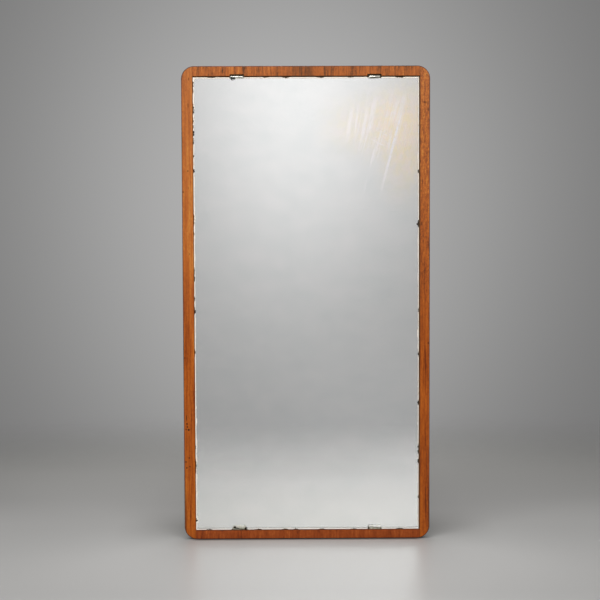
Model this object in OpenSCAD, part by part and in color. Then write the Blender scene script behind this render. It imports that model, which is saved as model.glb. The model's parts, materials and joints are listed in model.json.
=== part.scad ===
// Wall mirror: a thin board with round corners, faced with four strips of veneered ply that leave
// a square-cornered bed for the glass. Two fixed clips carry the glass, and two clips at the top
// slide up in notches to let it out. Keyhole plates are let into the back.
// The back lies on the plane y = 0, the front faces -Y, and the origin is the middle of the back.
// Depths below are distances in front of the back.

/* [Board] */
// Overall width
board_w = 500; // [440:5:700]
// Overall height
board_h = 960; // [700:10:1200]
// Radius of the four outer corners
corner_r = 26; // [10:1:32]
// Thickness of the core
core_t = 11.4; // [10.4:0.2:16]
// Thickness of the veneer on the back
back_veneer_t = 0.6; // [0.4:0.1:1]
// Thickness of the band round the edge
band_t = 1.5; // [1:0.1:3]
// Radius rubbed on the front corner of the band
band_round_r = 0.8; // [0.3:0.1:1]

/* [Face strips] */
// Width of the left stile
left_stile_w = 23; // [16:0.5:40]
// Width of the right stile
right_stile_w = 20; // [16:0.5:40]
// Height of the top rail
top_rail_h = 20.5; // [16:0.5:40]
// Height of the bottom rail
bottom_rail_h = 18.5; // [14:0.5:40]
// Thickness of the ply in the strips
strip_t = 5.2; // [4.8:0.2:8]
// Thickness of the face veneer
face_veneer_t = 0.8; // [0.5:0.1:1.2]

/* [Glass] */
// Gap between the glass and the left stile
gap_left = 0.5; // [0.3:0.1:3]
// Gap between the glass and the right stile
gap_right = 2.5; // [0.3:0.1:4]
// Gap between the glass and the top rail
gap_top = 2.2; // [1.6:0.1:4]
// Thickness of the glass
glass_t = 4; // [3:0.5:5]
// Width of the ground arris seen from the front
arris_w = 2; // [0.5:0.1:4]
// Depth of the ground arris
arris_d = 1; // [0.4:0.1:2]
// Thickness of the silvering and its paint
silvering_t = 0.1; // [0.1:0.05:0.3]
// Thickness of the packing card behind the glass
card_t = 1; // [0.5:0.1:1.5]

/* [Clips] */
// Width of a clip
clip_w = 28; // [20:1:40]
// Thickness of the clip's strip
clip_t = 1; // [0.8:0.1:1.4]
// Distance between the left and right clips, centre to centre
clip_spacing = 276; // [180:2:320]
// Length of an upper clip's tongue over the glass
upper_tongue_l = 4.6; // [3:0.2:7]
// Length of a lower clip's tongue over the glass
lower_tongue_l = 8; // [5:0.2:12]
// Length of a clip's leg behind the glass
leg_l = 22; // [20:1:32]
// Radius of the tongue's free corners
tongue_corner_r = 4; // [0.8:0.2:4.8]
// Outer radius of the clip's two bends
bend_r = 1.6; // [1.5:0.1:2]
// Distance between the two screws of a lower clip
lower_screw_spacing = 14; // [10:1:18]
// Gap between a clip's tongue and the glass
tongue_gap = 0.2; // [0.1:0.05:0.4]
// Gap between an upper clip's web and the top of the glass
web_gap = 1.7; // [0.2:0.1:2.4]
// Gap at each side of a clip in its bed
side_gap = 0.3; // [0.2:0.05:0.6]
// Play of an upper clip's leg under its screw and over its bed
leg_play = 0.15; // [0.1:0.05:0.3]
// How far a raised upper clip clears the glass
release_gap = 0.2; // [0.1:0.05:0.5]
// Room left at the end of a clip's bed
end_gap = 0.3; // [0.2:0.05:1]

/* [Clip screws] */
// Radius of the flat head
clip_screw_head_r = 3.2; // [2.6:0.1:3.6]
// Height of the flat head
clip_screw_head_h = 1.3; // [1:0.1:1.6]
// Radius of the shank
clip_screw_r = 1.5; // [1.2:0.1:1.8]
// Length under the head
clip_screw_l = 8; // [6:0.5:9]
// Gap between an upper clip's screw head and the packing card
head_gap = 0.2; // [0.1:0.05:0.5]
// Gap between the shank and the side of an upper clip's slot
slot_gap = 0.2; // [0.1:0.05:0.4]

/* [Keyhole plates] */
// Width of a plate
plate_w = 16; // [14:1:22]
// Height of a plate
plate_h = 46; // [42:1:60]
// Thickness of a plate
plate_t = 1.5; // [1.2:0.1:2]
// Radius of the plate's corners
plate_corner_r = 3; // [1:0.5:6]
// Distance between the two plates, centre to centre
plate_spacing = 320; // [240:10:380]
// Distance from the top of the board to the middle of a plate
plate_drop = 100; // [90:5:250]
// Radius of the round hole that a wall screw's head enters
keyhole_r = 4.5; // [3.5:0.1:4.7]
// Width of the slot that holds the wall screw's neck
keyslot_w = 4.5; // [3.5:0.1:5]
// Height from the round hole's centre to the slot's end centre
keyslot_l = 11; // [9:0.5:13]
// Depth of the hollow behind the plate
hollow_depth = 6.5; // [4:0.5:7]
// Room round the wall screw's head in the hollow
hollow_room = 1; // [0.5:0.1:1.5]
// Distance from the end of a plate to its fixing screw
plate_screw_edge = 4.5; // [4:0.5:6]
// Radius of the countersunk head
plate_screw_head_r = 3.1; // [2.6:0.1:3.3]
// Radius of the shank
plate_screw_r = 1.5; // [1.2:0.1:1.8]
// Overall length of the screw
plate_screw_l = 10; // [8:0.5:11]

/* [Hidden] */
$fn = 64;

// How far a cut runs past the face that it opens
overrun = 1;
// Gap round a screw in its pilot hole
pilot_gap = 0.05;
// Share of a screw's length that is its point
point_share = 0.3;
// Width and depth of the slot in a screw's head, as shares of the head's radius
driver_w_share = 0.26;
driver_d_share = 0.2;

// Depths of the front of each layer
board_front = back_veneer_t + core_t;
strip_front = board_front + strip_t;
face_front = strip_front + face_veneer_t;
card_front = board_front + card_t;
silvering_front = card_front + silvering_t;
glass_front = silvering_front + glass_t;

// Edges of the bed that the four strips leave
bed_left = left_stile_w - board_w / 2;
bed_right = board_w / 2 - right_stile_w;
bed_top = board_h / 2 - top_rail_h;
bed_bottom = bottom_rail_h - board_h / 2;

// Edges of the glass, which stands on the webs of the lower clips
glass_left = bed_left + gap_left;
glass_right = bed_right - gap_right;
glass_top = bed_top - gap_top;
glass_bottom = bed_bottom + clip_t;

// Depths that the clips keep: a fixed leg lies on the floor of its bed, a sliding one has play
clip_floor = board_front - head_gap - clip_screw_head_h - clip_t - 2 * leg_play;
lower_leg_back = clip_floor;
upper_leg_back = clip_floor + leg_play;
lower_head_back = lower_leg_back + clip_t;
upper_head_back = upper_leg_back + clip_t + leg_play;
tongue_front = glass_front + tongue_gap + clip_t;

// Travel that lifts the tongue clear of the glass, and the heights of the webs' inner faces
clip_travel = upper_tongue_l - web_gap + release_gap;
upper_web_z = glass_top + web_gap;
lower_web_z = glass_bottom;
notch_top = upper_web_z + clip_t + clip_travel + end_gap;
clip_bed_w = clip_w + 2 * side_gap;
clip_xs = [-clip_spacing / 2, clip_spacing / 2];

// Screws of the clips: a sliding leg's screw starts at the upper end of its slot
upper_screw_z = upper_web_z - (leg_l - clip_travel) / 2;
lower_screw_z = lower_web_z + leg_l / 2;
upper_screw_places = [for (x = clip_xs) [x, upper_screw_z]];
lower_screw_places = [
    for (x = clip_xs, side = [-1, 1]) [x + side * lower_screw_spacing / 2, lower_screw_z]
];

// Plates: the round hole lies below the plate's middle by half of the slot's length
plate_z = board_h / 2 - plate_drop;
plate_screw_spacing = plate_h - 2 * plate_screw_edge;
plate_places = [for (side = [-1, 1]) [side * plate_spacing / 2, plate_z]];
plate_screw_places = [
    for (place = plate_places, side = [-1, 1])
        [place[0], place[1] + side * plate_screw_spacing / 2]
];

// Flat outline stood upright: its back is `back` in front of the wall, and it is `thick` thick
module sheet(back, thick) {
    translate([0, -back, 0])
        rotate([90, 0, 0])
            linear_extrude(thick)
                children();
}

// Outline drawn as [depth, height], carried along X over a width of `wide` about x = 0
module across(wide) {
    rotate([90, 0, -90])
        linear_extrude(wide, center = true)
            children();
}

// Rectangle between two corners
module area(low, high) {
    translate(low)
        square(high - low);
}

// Rectangle with round corners about the origin
module round_area(wide, high, r) {
    area([-wide / 2, r - high / 2], [wide / 2, high / 2 - r]);
    area([r - wide / 2, -high / 2], [wide / 2 - r, high / 2]);
    for (x = [r - wide / 2, wide / 2 - r], y = [r - high / 2, high / 2 - r])
        translate([x, y])
            circle(r);
}

// Rectangle whose two upper corners are round
module arched_area(low, high, r) {
    area(low, [high[0], high[1] - r]);
    area([low[0] + r, low[1]], [high[0] - r, high[1]]);
    for (x = [low[0] + r, high[0] - r])
        translate([x, high[1] - r])
            circle(r);
}

// Upright slot with round ends, from `place` up by `rise`
module slot_area(place, rise, r) {
    translate(place) {
        circle(r);
        translate([0, rise])
            circle(r);
        area([-r, 0], [r, rise]);
    }
}

// Outline of the board inside its edge band
module board_outline() {
    round_area(board_w - 2 * band_t, board_h - 2 * band_t, corner_r - band_t);
}

module left_stile_outline() {
    intersection() {
        board_outline();
        area([-board_w / 2, -board_h / 2], [bed_left, board_h / 2]);
    }
}

module right_stile_outline() {
    intersection() {
        board_outline();
        area([bed_right, -board_h / 2], [board_w / 2, board_h / 2]);
    }
}

// The top rail is notched where the upper clips slide up
module top_rail_outline() {
    difference() {
        intersection() {
            board_outline();
            area([bed_left, bed_top], [bed_right, board_h / 2]);
        }
        for (x = clip_xs)
            area([x - clip_bed_w / 2, bed_top - overrun], [x + clip_bed_w / 2, notch_top]);
    }
}

module bottom_rail_outline() {
    intersection() {
        board_outline();
        area([bed_left, -board_h / 2], [bed_right, bed_bottom]);
    }
}

module plate_outline() {
    round_area(plate_w, plate_h, plate_corner_r);
}

// Hole that a screw's shank fills, opening forwards from the depth `from`
module pilot_hole(place, from, to, r) {
    sheet(from, to - from + overrun)
        translate(place)
            circle(r + pilot_gap);
}

// Core of the board, cut for the clips' legs in front and for the keyhole plates behind
module backing_board() {
    color("burlywood")
        difference() {
            sheet(back_veneer_t, core_t)
                board_outline();
            sheet(clip_floor, board_front - clip_floor + overrun)
                for (x = clip_xs) {
                    area(
                        [x - clip_bed_w / 2, upper_web_z - leg_l - end_gap],
                        [x + clip_bed_w / 2, notch_top]
                    );
                    area(
                        [x - clip_bed_w / 2, lower_web_z - clip_t],
                        [x + clip_bed_w / 2, lower_web_z + leg_l + end_gap]
                    );
                }
            for (place = upper_screw_places)
                pilot_hole(place, upper_head_back - clip_screw_l, clip_floor, clip_screw_r);
            for (place = lower_screw_places)
                pilot_hole(place, lower_head_back - clip_screw_l, clip_floor, clip_screw_r);
            for (place = plate_places)
                translate([place[0], 0, place[1]]) {
                    sheet(-overrun, plate_t + overrun)
                        plate_outline();
                    sheet(plate_t - overrun, hollow_depth + overrun)
                        slot_area([0, -keyslot_l / 2], keyslot_l, keyhole_r + hollow_room);
                }
            for (place = plate_screw_places)
                sheet(-overrun, plate_screw_l + overrun)
                    translate(place)
                        circle(plate_screw_r + pilot_gap);
        }
}

// Veneer that balances the face, open round the keyhole plates
module back_veneer() {
    color("peru")
        sheet(0, back_veneer_t)
            difference() {
                board_outline();
                for (place = plate_places)
                    translate(place)
                        plate_outline();
            }
}

// Ply strips of the face
module left_stile() {
    color("tan")
        sheet(board_front, strip_t)
            left_stile_outline();
}

module right_stile() {
    color("tan")
        sheet(board_front, strip_t)
            right_stile_outline();
}

module top_rail() {
    color("tan")
        sheet(board_front, strip_t)
            top_rail_outline();
}

module bottom_rail() {
    color("tan")
        sheet(board_front, strip_t)
            bottom_rail_outline();
}

// Face veneers, one on each strip
module left_stile_veneer() {
    color("peru")
        sheet(strip_front, face_veneer_t)
            left_stile_outline();
}

module right_stile_veneer() {
    color("peru")
        sheet(strip_front, face_veneer_t)
            right_stile_outline();
}

module top_rail_veneer() {
    color("peru")
        sheet(strip_front, face_veneer_t)
            top_rail_outline();
}

module bottom_rail_veneer() {
    color("sienna")
        sheet(strip_front, face_veneer_t)
            bottom_rail_outline();
}

// Section of the edge band as [distance from the board's edge inwards, depth], with its front
// outer corner rubbed round
module band_section() {
    difference() {
        area([0, 0], [band_t, face_front]);
        difference() {
            area([-overrun, face_front - band_round_r], [band_round_r, face_front + overrun]);
            translate([band_round_r, face_front - band_round_r])
                circle(band_round_r);
        }
    }
}

// Straight band along the edge at the left of the board, of length `l` about z = 0
module straight_band(l) {
    linear_extrude(l, center = true)
        mirror([0, 1])
            band_section();
}

// Quarter turn of band round the corner centre, from the left edge to the top edge
module corner_band() {
    rotate([90, 0, 0])
        rotate([0, 0, 90])
            rotate_extrude(angle = 90)
                translate([corner_r, 0])
                    mirror([1, 0])
                        band_section();
}

// Band of one side: a straight length with a quarter turn at each end
module side_band() {
    translate([-board_w / 2, 0, 0])
        straight_band(board_h - 2 * corner_r);
    for (up = [0, 1])
        mirror([0, 0, up])
            translate([corner_r - board_w / 2, 0, board_h / 2 - corner_r])
                corner_band();
}

// Band of one end: a straight length between the side bands
module end_band() {
    translate([0, 0, board_h / 2])
        rotate([0, 90, 0])
            straight_band(board_w - 2 * corner_r);
}

module left_edge_band() {
    color("saddlebrown")
        side_band();
}

module right_edge_band() {
    color("saddlebrown")
        mirror([1, 0, 0])
            side_band();
}

module top_edge_band() {
    color("saddlebrown")
        end_band();
}

module bottom_edge_band() {
    color("saddlebrown")
        mirror([0, 0, 1])
            end_band();
}

module glass_outline() {
    area([glass_left, glass_bottom], [glass_right, glass_top]);
}

// Card that keeps the silvering off the board and the clips' legs
module packing_card() {
    color("tan")
        sheet(board_front, card_t)
            glass_outline();
}

module silvering() {
    color("slategray")
        sheet(card_front, silvering_t)
            glass_outline();
}

// Section of the glass from `low` to `high`, as [place across, depth], with both front edges ground
module ground_section(low, high) {
    polygon([
        [low, silvering_front], [high, silvering_front],
        [high, glass_front - arris_d], [high - arris_w, glass_front],
        [low + arris_w, glass_front], [low, glass_front - arris_d]
    ]);
}

// Pane ground along its four front edges: the two sections cross
module mirror_glass() {
    color("lightgray")
        intersection() {
            translate([0, 0, glass_bottom])
                linear_extrude(glass_top - glass_bottom)
                    mirror([0, 1])
                        ground_section(glass_left, glass_right);
            rotate([90, 0, -90])
                linear_extrude(2 * board_w, center = true)
                    mirror([1, -1])
                        ground_section(glass_bottom, glass_top);
        }
}

// Clip bent like a hook, its web's inner face at height zero. `leg_back` is the depth of its leg's
// back, and the children are the holes in its leg, as [place across, height].
module clip(leg_back, tongue_l) {
    free_r = min(tongue_corner_r, tongue_l);
    difference() {
        across(clip_w)
            difference() {
                arched_area([leg_back, -leg_l], [tongue_front, clip_t], bend_r);
                arched_area(
                    [leg_back + clip_t, -leg_l - overrun], [tongue_front - clip_t, 0],
                    bend_r - clip_t
                );
                area(
                    [leg_back + clip_t, -leg_l - overrun], [tongue_front + overrun, -tongue_l]
                );
            }
        sheet(glass_front, tongue_front - glass_front + overrun)
            for (side = [0, 1])
                mirror([side, 0])
                    difference() {
                        area(
                            [clip_w / 2 - free_r, -tongue_l - overrun],
                            [clip_w / 2 + overrun, free_r - tongue_l]
                        );
                        translate([clip_w / 2 - free_r, free_r - tongue_l])
                            circle(free_r);
                    }
        sheet(leg_back - overrun, clip_t + 2 * overrun)
            children();
    }
}

// Sliding clip: its slot runs down from the place of the screw at rest
module upper_clip(x) {
    translate([x, 0, upper_web_z])
        clip(upper_leg_back, upper_tongue_l)
            slot_area(
                [0, upper_screw_z - upper_web_z - clip_travel], clip_travel,
                clip_screw_r + slot_gap
            );
}

// Fixed clip, the other way up, with two screw holes
module lower_clip(x) {
    translate([x, 0, lower_web_z])
        mirror([0, 0, 1])
            clip(lower_leg_back, lower_tongue_l)
                for (side = [-1, 1])
                    translate([side * lower_screw_spacing / 2, lower_web_z - lower_screw_z])
                        circle(clip_screw_r + pilot_gap);
}

module upper_left_clip() {
    color("silver")
        upper_clip(clip_xs[0]);
}

module upper_right_clip() {
    color("silver")
        upper_clip(clip_xs[1]);
}

module lower_left_clip() {
    color("silver")
        lower_clip(clip_xs[0]);
}

module lower_right_clip() {
    color("silver")
        lower_clip(clip_xs[1]);
}

// Slot for a screwdriver, cut down from height zero
module driver_slot(head_r) {
    translate([0, 0, -head_r * driver_d_share / 2])
        cube([2 * (head_r + overrun), head_r * driver_w_share, head_r * driver_d_share],
            center = true);
}

// Flat-headed screw pointing down, its head standing on height zero
module clip_screw() {
    point_l = clip_screw_l * point_share;
    difference() {
        rotate_extrude()
            polygon([
                [0, -clip_screw_l], [clip_screw_r, point_l - clip_screw_l], [clip_screw_r, 0],
                [clip_screw_head_r, 0], [clip_screw_head_r, clip_screw_head_h],
                [0, clip_screw_head_h]
            ]);
        translate([0, 0, clip_screw_head_h])
            driver_slot(clip_screw_head_r);
    }
}

// Countersunk screw pointing down, its head's face at height zero
module plate_screw() {
    point_l = plate_screw_l * point_share;
    difference() {
        rotate_extrude()
            polygon([
                [0, -plate_screw_l], [plate_screw_r, point_l - plate_screw_l],
                [plate_screw_r, -plate_t], [plate_screw_head_r, 0], [0, 0]
            ]);
        driver_slot(plate_screw_head_r);
    }
}

// Screws set in from the front at each place, their heads standing on the depth `head_back`
module front_screws(places, head_back) {
    for (place = places)
        translate([place[0], -head_back, place[1]])
            rotate([90, 0, 0])
                clip_screw();
}

module upper_clip_screws() {
    color("gray")
        front_screws(upper_screw_places, upper_head_back);
}

module lower_clip_screws() {
    color("gray")
        front_screws(lower_screw_places, lower_head_back);
}

// Steel plate with a round entry, a slot above it and two countersunk holes
module keyhole_plates() {
    color("lightsteelblue")
        for (place = plate_places)
            translate([place[0], 0, place[1]])
                difference() {
                    sheet(0, plate_t)
                        plate_outline();
                    sheet(-overrun, plate_t + 2 * overrun) {
                        translate([0, -keyslot_l / 2])
                            circle(keyhole_r);
                        slot_area([0, -keyslot_l / 2], keyslot_l, keyslot_w / 2);
                    }
                    for (side = [-1, 1])
                        translate([0, 0, side * plate_screw_spacing / 2])
                            rotate([90, 0, 0])
                                cylinder(h = plate_t, r1 = plate_screw_head_r, r2 = plate_screw_r);
                }
}

module plate_screws() {
    color("gray")
        for (place = plate_screw_places)
            translate([place[0], 0, place[1]])
                rotate([-90, 0, 0])
                    plate_screw();
}

backing_board();
back_veneer();
left_stile();
right_stile();
top_rail();
bottom_rail();
left_stile_veneer();
right_stile_veneer();
top_rail_veneer();
bottom_rail_veneer();
left_edge_band();
right_edge_band();
top_edge_band();
bottom_edge_band();
packing_card();
silvering();
mirror_glass();
upper_left_clip();
upper_right_clip();
lower_left_clip();
lower_right_clip();
upper_clip_screws();
lower_clip_screws();
keyhole_plates();
plate_screws();
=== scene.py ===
"""Looks of a tall wall mirror: a thin teak-faced board with round corners, its glass let into the front.

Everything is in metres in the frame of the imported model: the back of the board lies on y = 0, the front
faces -Y, +Z is up, and x = 0, z = 0 is the middle of the board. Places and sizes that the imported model
already holds are read from the boxes of its nodes. A depth is a distance in front of the back. Marks and
grain in the finishes are in millimetres.
"""

import json
import logging
import math
from dataclasses import dataclass
from enum import Enum
from typing import Any, Sequence

import bmesh
import bpy
import numpy as np
from mathutils import Matrix, Vector


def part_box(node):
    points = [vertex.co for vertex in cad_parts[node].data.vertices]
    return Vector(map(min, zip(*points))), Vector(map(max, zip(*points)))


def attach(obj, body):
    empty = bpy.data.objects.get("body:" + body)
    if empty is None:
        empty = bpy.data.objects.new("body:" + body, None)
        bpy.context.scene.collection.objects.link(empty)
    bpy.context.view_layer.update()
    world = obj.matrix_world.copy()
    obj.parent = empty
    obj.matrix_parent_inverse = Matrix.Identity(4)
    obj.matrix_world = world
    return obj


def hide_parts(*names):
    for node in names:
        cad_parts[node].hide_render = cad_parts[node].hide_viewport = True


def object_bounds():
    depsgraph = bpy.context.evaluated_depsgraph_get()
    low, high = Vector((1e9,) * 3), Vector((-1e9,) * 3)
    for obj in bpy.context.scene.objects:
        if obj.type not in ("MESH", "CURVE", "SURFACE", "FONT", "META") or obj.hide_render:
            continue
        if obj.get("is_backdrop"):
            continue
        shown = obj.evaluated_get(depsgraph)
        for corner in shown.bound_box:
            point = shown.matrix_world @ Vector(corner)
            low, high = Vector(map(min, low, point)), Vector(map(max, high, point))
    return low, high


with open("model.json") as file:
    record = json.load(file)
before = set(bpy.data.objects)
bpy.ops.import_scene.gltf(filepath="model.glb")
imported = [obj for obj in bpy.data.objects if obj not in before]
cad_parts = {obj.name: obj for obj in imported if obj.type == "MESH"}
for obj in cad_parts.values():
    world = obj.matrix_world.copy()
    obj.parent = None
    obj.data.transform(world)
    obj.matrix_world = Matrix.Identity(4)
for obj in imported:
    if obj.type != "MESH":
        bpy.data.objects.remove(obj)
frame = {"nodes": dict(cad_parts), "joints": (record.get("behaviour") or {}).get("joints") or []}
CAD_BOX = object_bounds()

MM = 0.001
ROOT_BODY = "mirror"
SLIDING_CLIPS = ("upper_left_clip", "upper_right_clip")
SAME_POINT = 1e-6  # points of a copied mesh that are closer than this, in metres, become one
FLAT = math.radians(1)  # faces that meet at less than this become one
SHARP = math.radians(40)  # edges sharper than this are eased
LOG = logging.getLogger("mirror")

Socket = bpy.types.NodeSocket
Point = tuple[float, float, float]
# A soft patch: x, z, half width, half height, all in millimetres, and its strength.
Patch = tuple[float, float, float, float, float]


class Cap(Enum):
    """How the two open ends of a row of rings are closed."""

    LADDER = "rungs between the first and the second half of the ring"
    POLYGON = "one flat polygon"


class Side(Enum):
    """A side of the glass, as the axis that crosses it and the way inwards along that axis."""

    LEFT = ("X", 1)
    RIGHT = ("X", -1)
    TOP = ("Z", -1)
    BOTTOM = ("Z", 1)


def linear(colour: str) -> tuple[float, ...]:
    """Turn an sRGB hex colour to linear light.

    Args:
        colour: six hex digits, such as "b26a36".

    Returns:
        Red, green, blue and an alpha of one.
    """
    parts = np.array([int(colour[i : i + 2], 16) for i in (0, 2, 4)]) / 255
    light = np.where(parts <= 0.04045, parts / 12.92, ((parts + 0.055) / 1.055) ** 2.4)
    return (*light.tolist(), 1.0)


@dataclass(frozen=True)
class Pattern:
    """A node tree that is being filled, and the point that its patterns are drawn over."""

    tree: bpy.types.NodeTree
    place: Socket | None = None

    @classmethod
    def over(cls, owner: bpy.types.Material | bpy.types.World, coordinates: str = "Object") -> "Pattern":
        """Empty the node tree of a material or a world and start a pattern in it.

        Args:
            owner: the material or the world.
            coordinates: the coordinates to draw over.

        Returns:
            The empty pattern.
        """
        owner.use_nodes = True
        owner.node_tree.nodes.clear()
        return cls(owner.node_tree, cls(owner.node_tree).node("TexCoord", out=coordinates))

    def node(
        self,
        kind: str,
        inputs: Sequence[Any] | dict[int | str, Any] = (),
        out: int | str = 0,
        stops: Sequence[tuple[float, str | float]] = (),
        **settings: Any,
    ) -> Socket | None:
        """Add one node, with its settings and its links.

        Args:
            kind: Blender's name for the kind of node, without its leading "ShaderNode".
            inputs: a socket, a value or a hex colour for each input, in order, by number or by name.
            out: the output that is wanted.
            stops: places with hex colours or grey values, if the node holds a colour ramp.
            settings: the node's own properties.

        Returns:
            The wanted output socket, or nothing where the node has no output.
        """
        node = self.tree.nodes.new("ShaderNode" + kind)
        for name, value in settings.items():
            setattr(node, name, value)
        for key, value in inputs.items() if isinstance(inputs, dict) else enumerate(inputs):
            if isinstance(value, Socket):
                self.tree.links.new(value, node.inputs[key])
            else:
                node.inputs[key].default_value = linear(value) if isinstance(value, str) else value
        for number, (place, tone) in enumerate(stops):
            ramp = node.color_ramp.elements
            stop = ramp[number] if number < len(ramp) else ramp.new(place)
            stop.position = place
            stop.color = linear(tone) if isinstance(tone, str) else (tone, tone, tone, 1.0)
        return node.outputs[out] if node.outputs else None

    def grain(
        self,
        across: float,
        along: float,
        detail: float = 3.0,
        seed: float = 0.0,
        place: Socket | None = None,
        out: int = 0,
    ) -> Socket:
        """Noise in long or round spots.

        Args:
            across: width of a spot in millimetres.
            along: height of a spot in millimetres.
            detail: how many finer layers it has.
            seed: where it is cut out of the noise.
            place: the point to draw it over, if not the pattern's own.
            out: 0 for one value, 1 for three.

        Returns:
            The noise, mostly between 0.3 and 0.7.
        """
        wide, high = 1 / (across * MM), 1 / (along * MM)
        moved = {"Vector": self.place if place is None else place, "Scale": (wide, wide, high)}
        moved = self.node("Mapping", moved | {"Location": (seed, seed / 2, -seed)})
        settings = {"Vector": moved, "Scale": 1.0, "Detail": detail, "Roughness": 0.6}
        return self.node("TexNoise", settings, out=out)

    def overlay(self, colour: Socket | str, *layers: tuple[Socket, Socket | str]) -> Socket:
        """Colour with others laid over it in turn.

        Args:
            colour: the lowest colour.
            layers: the share and the colour of each layer above it.

        Returns:
            The colour that shows.
        """
        for share, above in layers:
            colour = self.node("Mix", {0: share, 6: colour, 7: above}, out=2, data_type="RGBA")
        return colour

    def weigh(self, *parts: tuple[Socket, float]) -> Socket:
        """Sum of several sockets.

        Args:
            parts: each socket with what it is multiplied by.

        Returns:
            The sum at each point.
        """
        total: Socket | float = 0.0
        for socket, share in parts:
            total = self.node("Math", [socket, share, total], operation="MULTIPLY_ADD")
        return total

    def strongest(self, most: Socket, *others: Socket) -> Socket:
        """The largest of several sockets.

        Args:
            most: the first of them.
            others: the rest.

        Returns:
            The largest value at each point.
        """
        for socket in others:
            most = self.node("Math", [most, socket], operation="MAXIMUM")
        return most

    def palette(self, tone: Socket, tones: Sequence[str], low: float = 0.0, high: float = 1.0) -> Socket:
        """Colours evenly spaced over a tone.

        Args:
            tone: what chooses the colour.
            tones: hex colours.
            low: the tone at the first colour.
            high: the tone at the last colour.

        Returns:
            The colour at each point.
        """
        spaced = [(i / (len(tones) - 1), colour) for i, colour in enumerate(tones)]
        return self.node("ValToRGB", [self.node("MapRange", [tone, low, high])], stops=spaced)

    def level(self, axis: str, stops: Sequence[tuple[float, float]], place: Socket | None = None) -> Socket:
        """Value that goes straight from stop to stop along an axis.

        Args:
            axis: "X" or "Z".
            stops: places in millimetres, in order, with the value there.
            place: the point to draw it over, if not the pattern's own.

        Returns:
            The value at each point.
        """
        low, high = stops[0][0], stops[-1][0]
        along = self.node("SeparateXYZ", [self.place if place is None else place], out=axis)
        share = self.node("MapRange", [along, low * MM, high * MM])
        spaced = [((at - low) / (high - low), value) for at, value in stops]
        return self.node("ValToRGB", [share], stops=spaced)

    def apart(self, way: Sequence[float], edge: float) -> Socket:
        """Distance from a plane: |place . way - edge|.

        Args:
            way: unit direction across the plane.
            edge: how far along it the plane lies, in metres.

        Returns:
            The distance at each point, in metres.
        """
        along = self.node("VectorMath", [self.place, way], out="Value", operation="DOT_PRODUCT")
        away = self.node("Math", [along, edge], operation="SUBTRACT")
        return self.node("Math", [away], operation="ABSOLUTE")

    def spot(self, x: float, z: float, wide: float, high: float) -> Socket:
        """Soft round patch: 1 - |((x, z) - middle) / reach|, with the corner smoothed.

        Args:
            x: across its middle, in millimetres.
            z: height of its middle.
            wide: how far it reaches to each side.
            high: how far it reaches up and down.

        Returns:
            The share at each point, 1 at the middle and 0 where the reach ends.
        """
        moved = {"Vector": self.place, "Location": (-x / wide, 0.0, -z / high)}
        moved = self.node("Mapping", moved | {"Scale": (1 / (wide * MM), 0.0, 1 / (high * MM))})
        far = self.node("VectorMath", [moved], out="Value", operation="LENGTH")
        return self.node("MapRange", [far, 1.0, 0.0], interpolation_type="SMOOTHSTEP")


def smooth_bumps(
    places: np.ndarray, centres: np.ndarray, widths: np.ndarray, heights: np.ndarray
) -> np.ndarray:
    """Sum of bell curves along a line: height * exp(-((place - centre) / width)^2) each.

    Args:
        places: where the sum is wanted.
        centres: middles of the bells.
        widths: their half widths.
        heights: their heights.

    Returns:
        The sum at each place.
    """
    distance = (places[:, None] - centres[None, :]) / widths[None, :]
    return np.exp(-(distance**2)) @ heights


def random_bumps(places: np.ndarray, spacing: float, width: float, height: float, seed: int) -> np.ndarray:
    """Bell curves strewn along a line.

    Args:
        places: where their sum is wanted.
        spacing: mean distance from one to the next.
        width: the widest half width. The narrowest is 0.35 of it.
        height: the greatest height. The least is 0.04 of it.
        seed: seed of the draw.

    Returns:
        The sum at each place.
    """
    draw = np.random.default_rng(seed)
    count = max(1, int((places.max() - places.min()) / spacing))
    centres = draw.uniform(places.min(), places.max(), count)
    widths = width * draw.uniform(0.35, 1.0, count)
    return smooth_bumps(places, centres, widths, height * draw.uniform(0.2, 1.0, count) ** 2)


def spread(low: float, high: float, step: float, fine: Sequence[float] = (0.0,)) -> np.ndarray:
    """Places along a line, closer together at its ends.

    Args:
        low: where it starts.
        high: where it ends.
        step: distance between the even places.
        fine: offsets from both ends, the first of them 0.

    Returns:
        The places, in order.
    """
    near = np.array(fine)
    inner_low, inner_high = low + near[-1], high - near[-1]
    count = max(2, int(round((inner_high - inner_low) / step)) + 1)
    even = np.linspace(inner_low, inner_high, count)
    return np.concatenate([low + near[:-1], even, (high - near[:-1])[::-1]])


def placed(name: str, data: bpy.types.ID) -> bpy.types.Object:
    """Put a mesh, a lamp or a camera into the scene.

    Args:
        name: the object's name.
        data: what it shows.

    Returns:
        The new object, at the origin.
    """
    holder = bpy.data.objects.new(name, data)
    bpy.context.scene.collection.objects.link(holder)
    return holder


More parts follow.
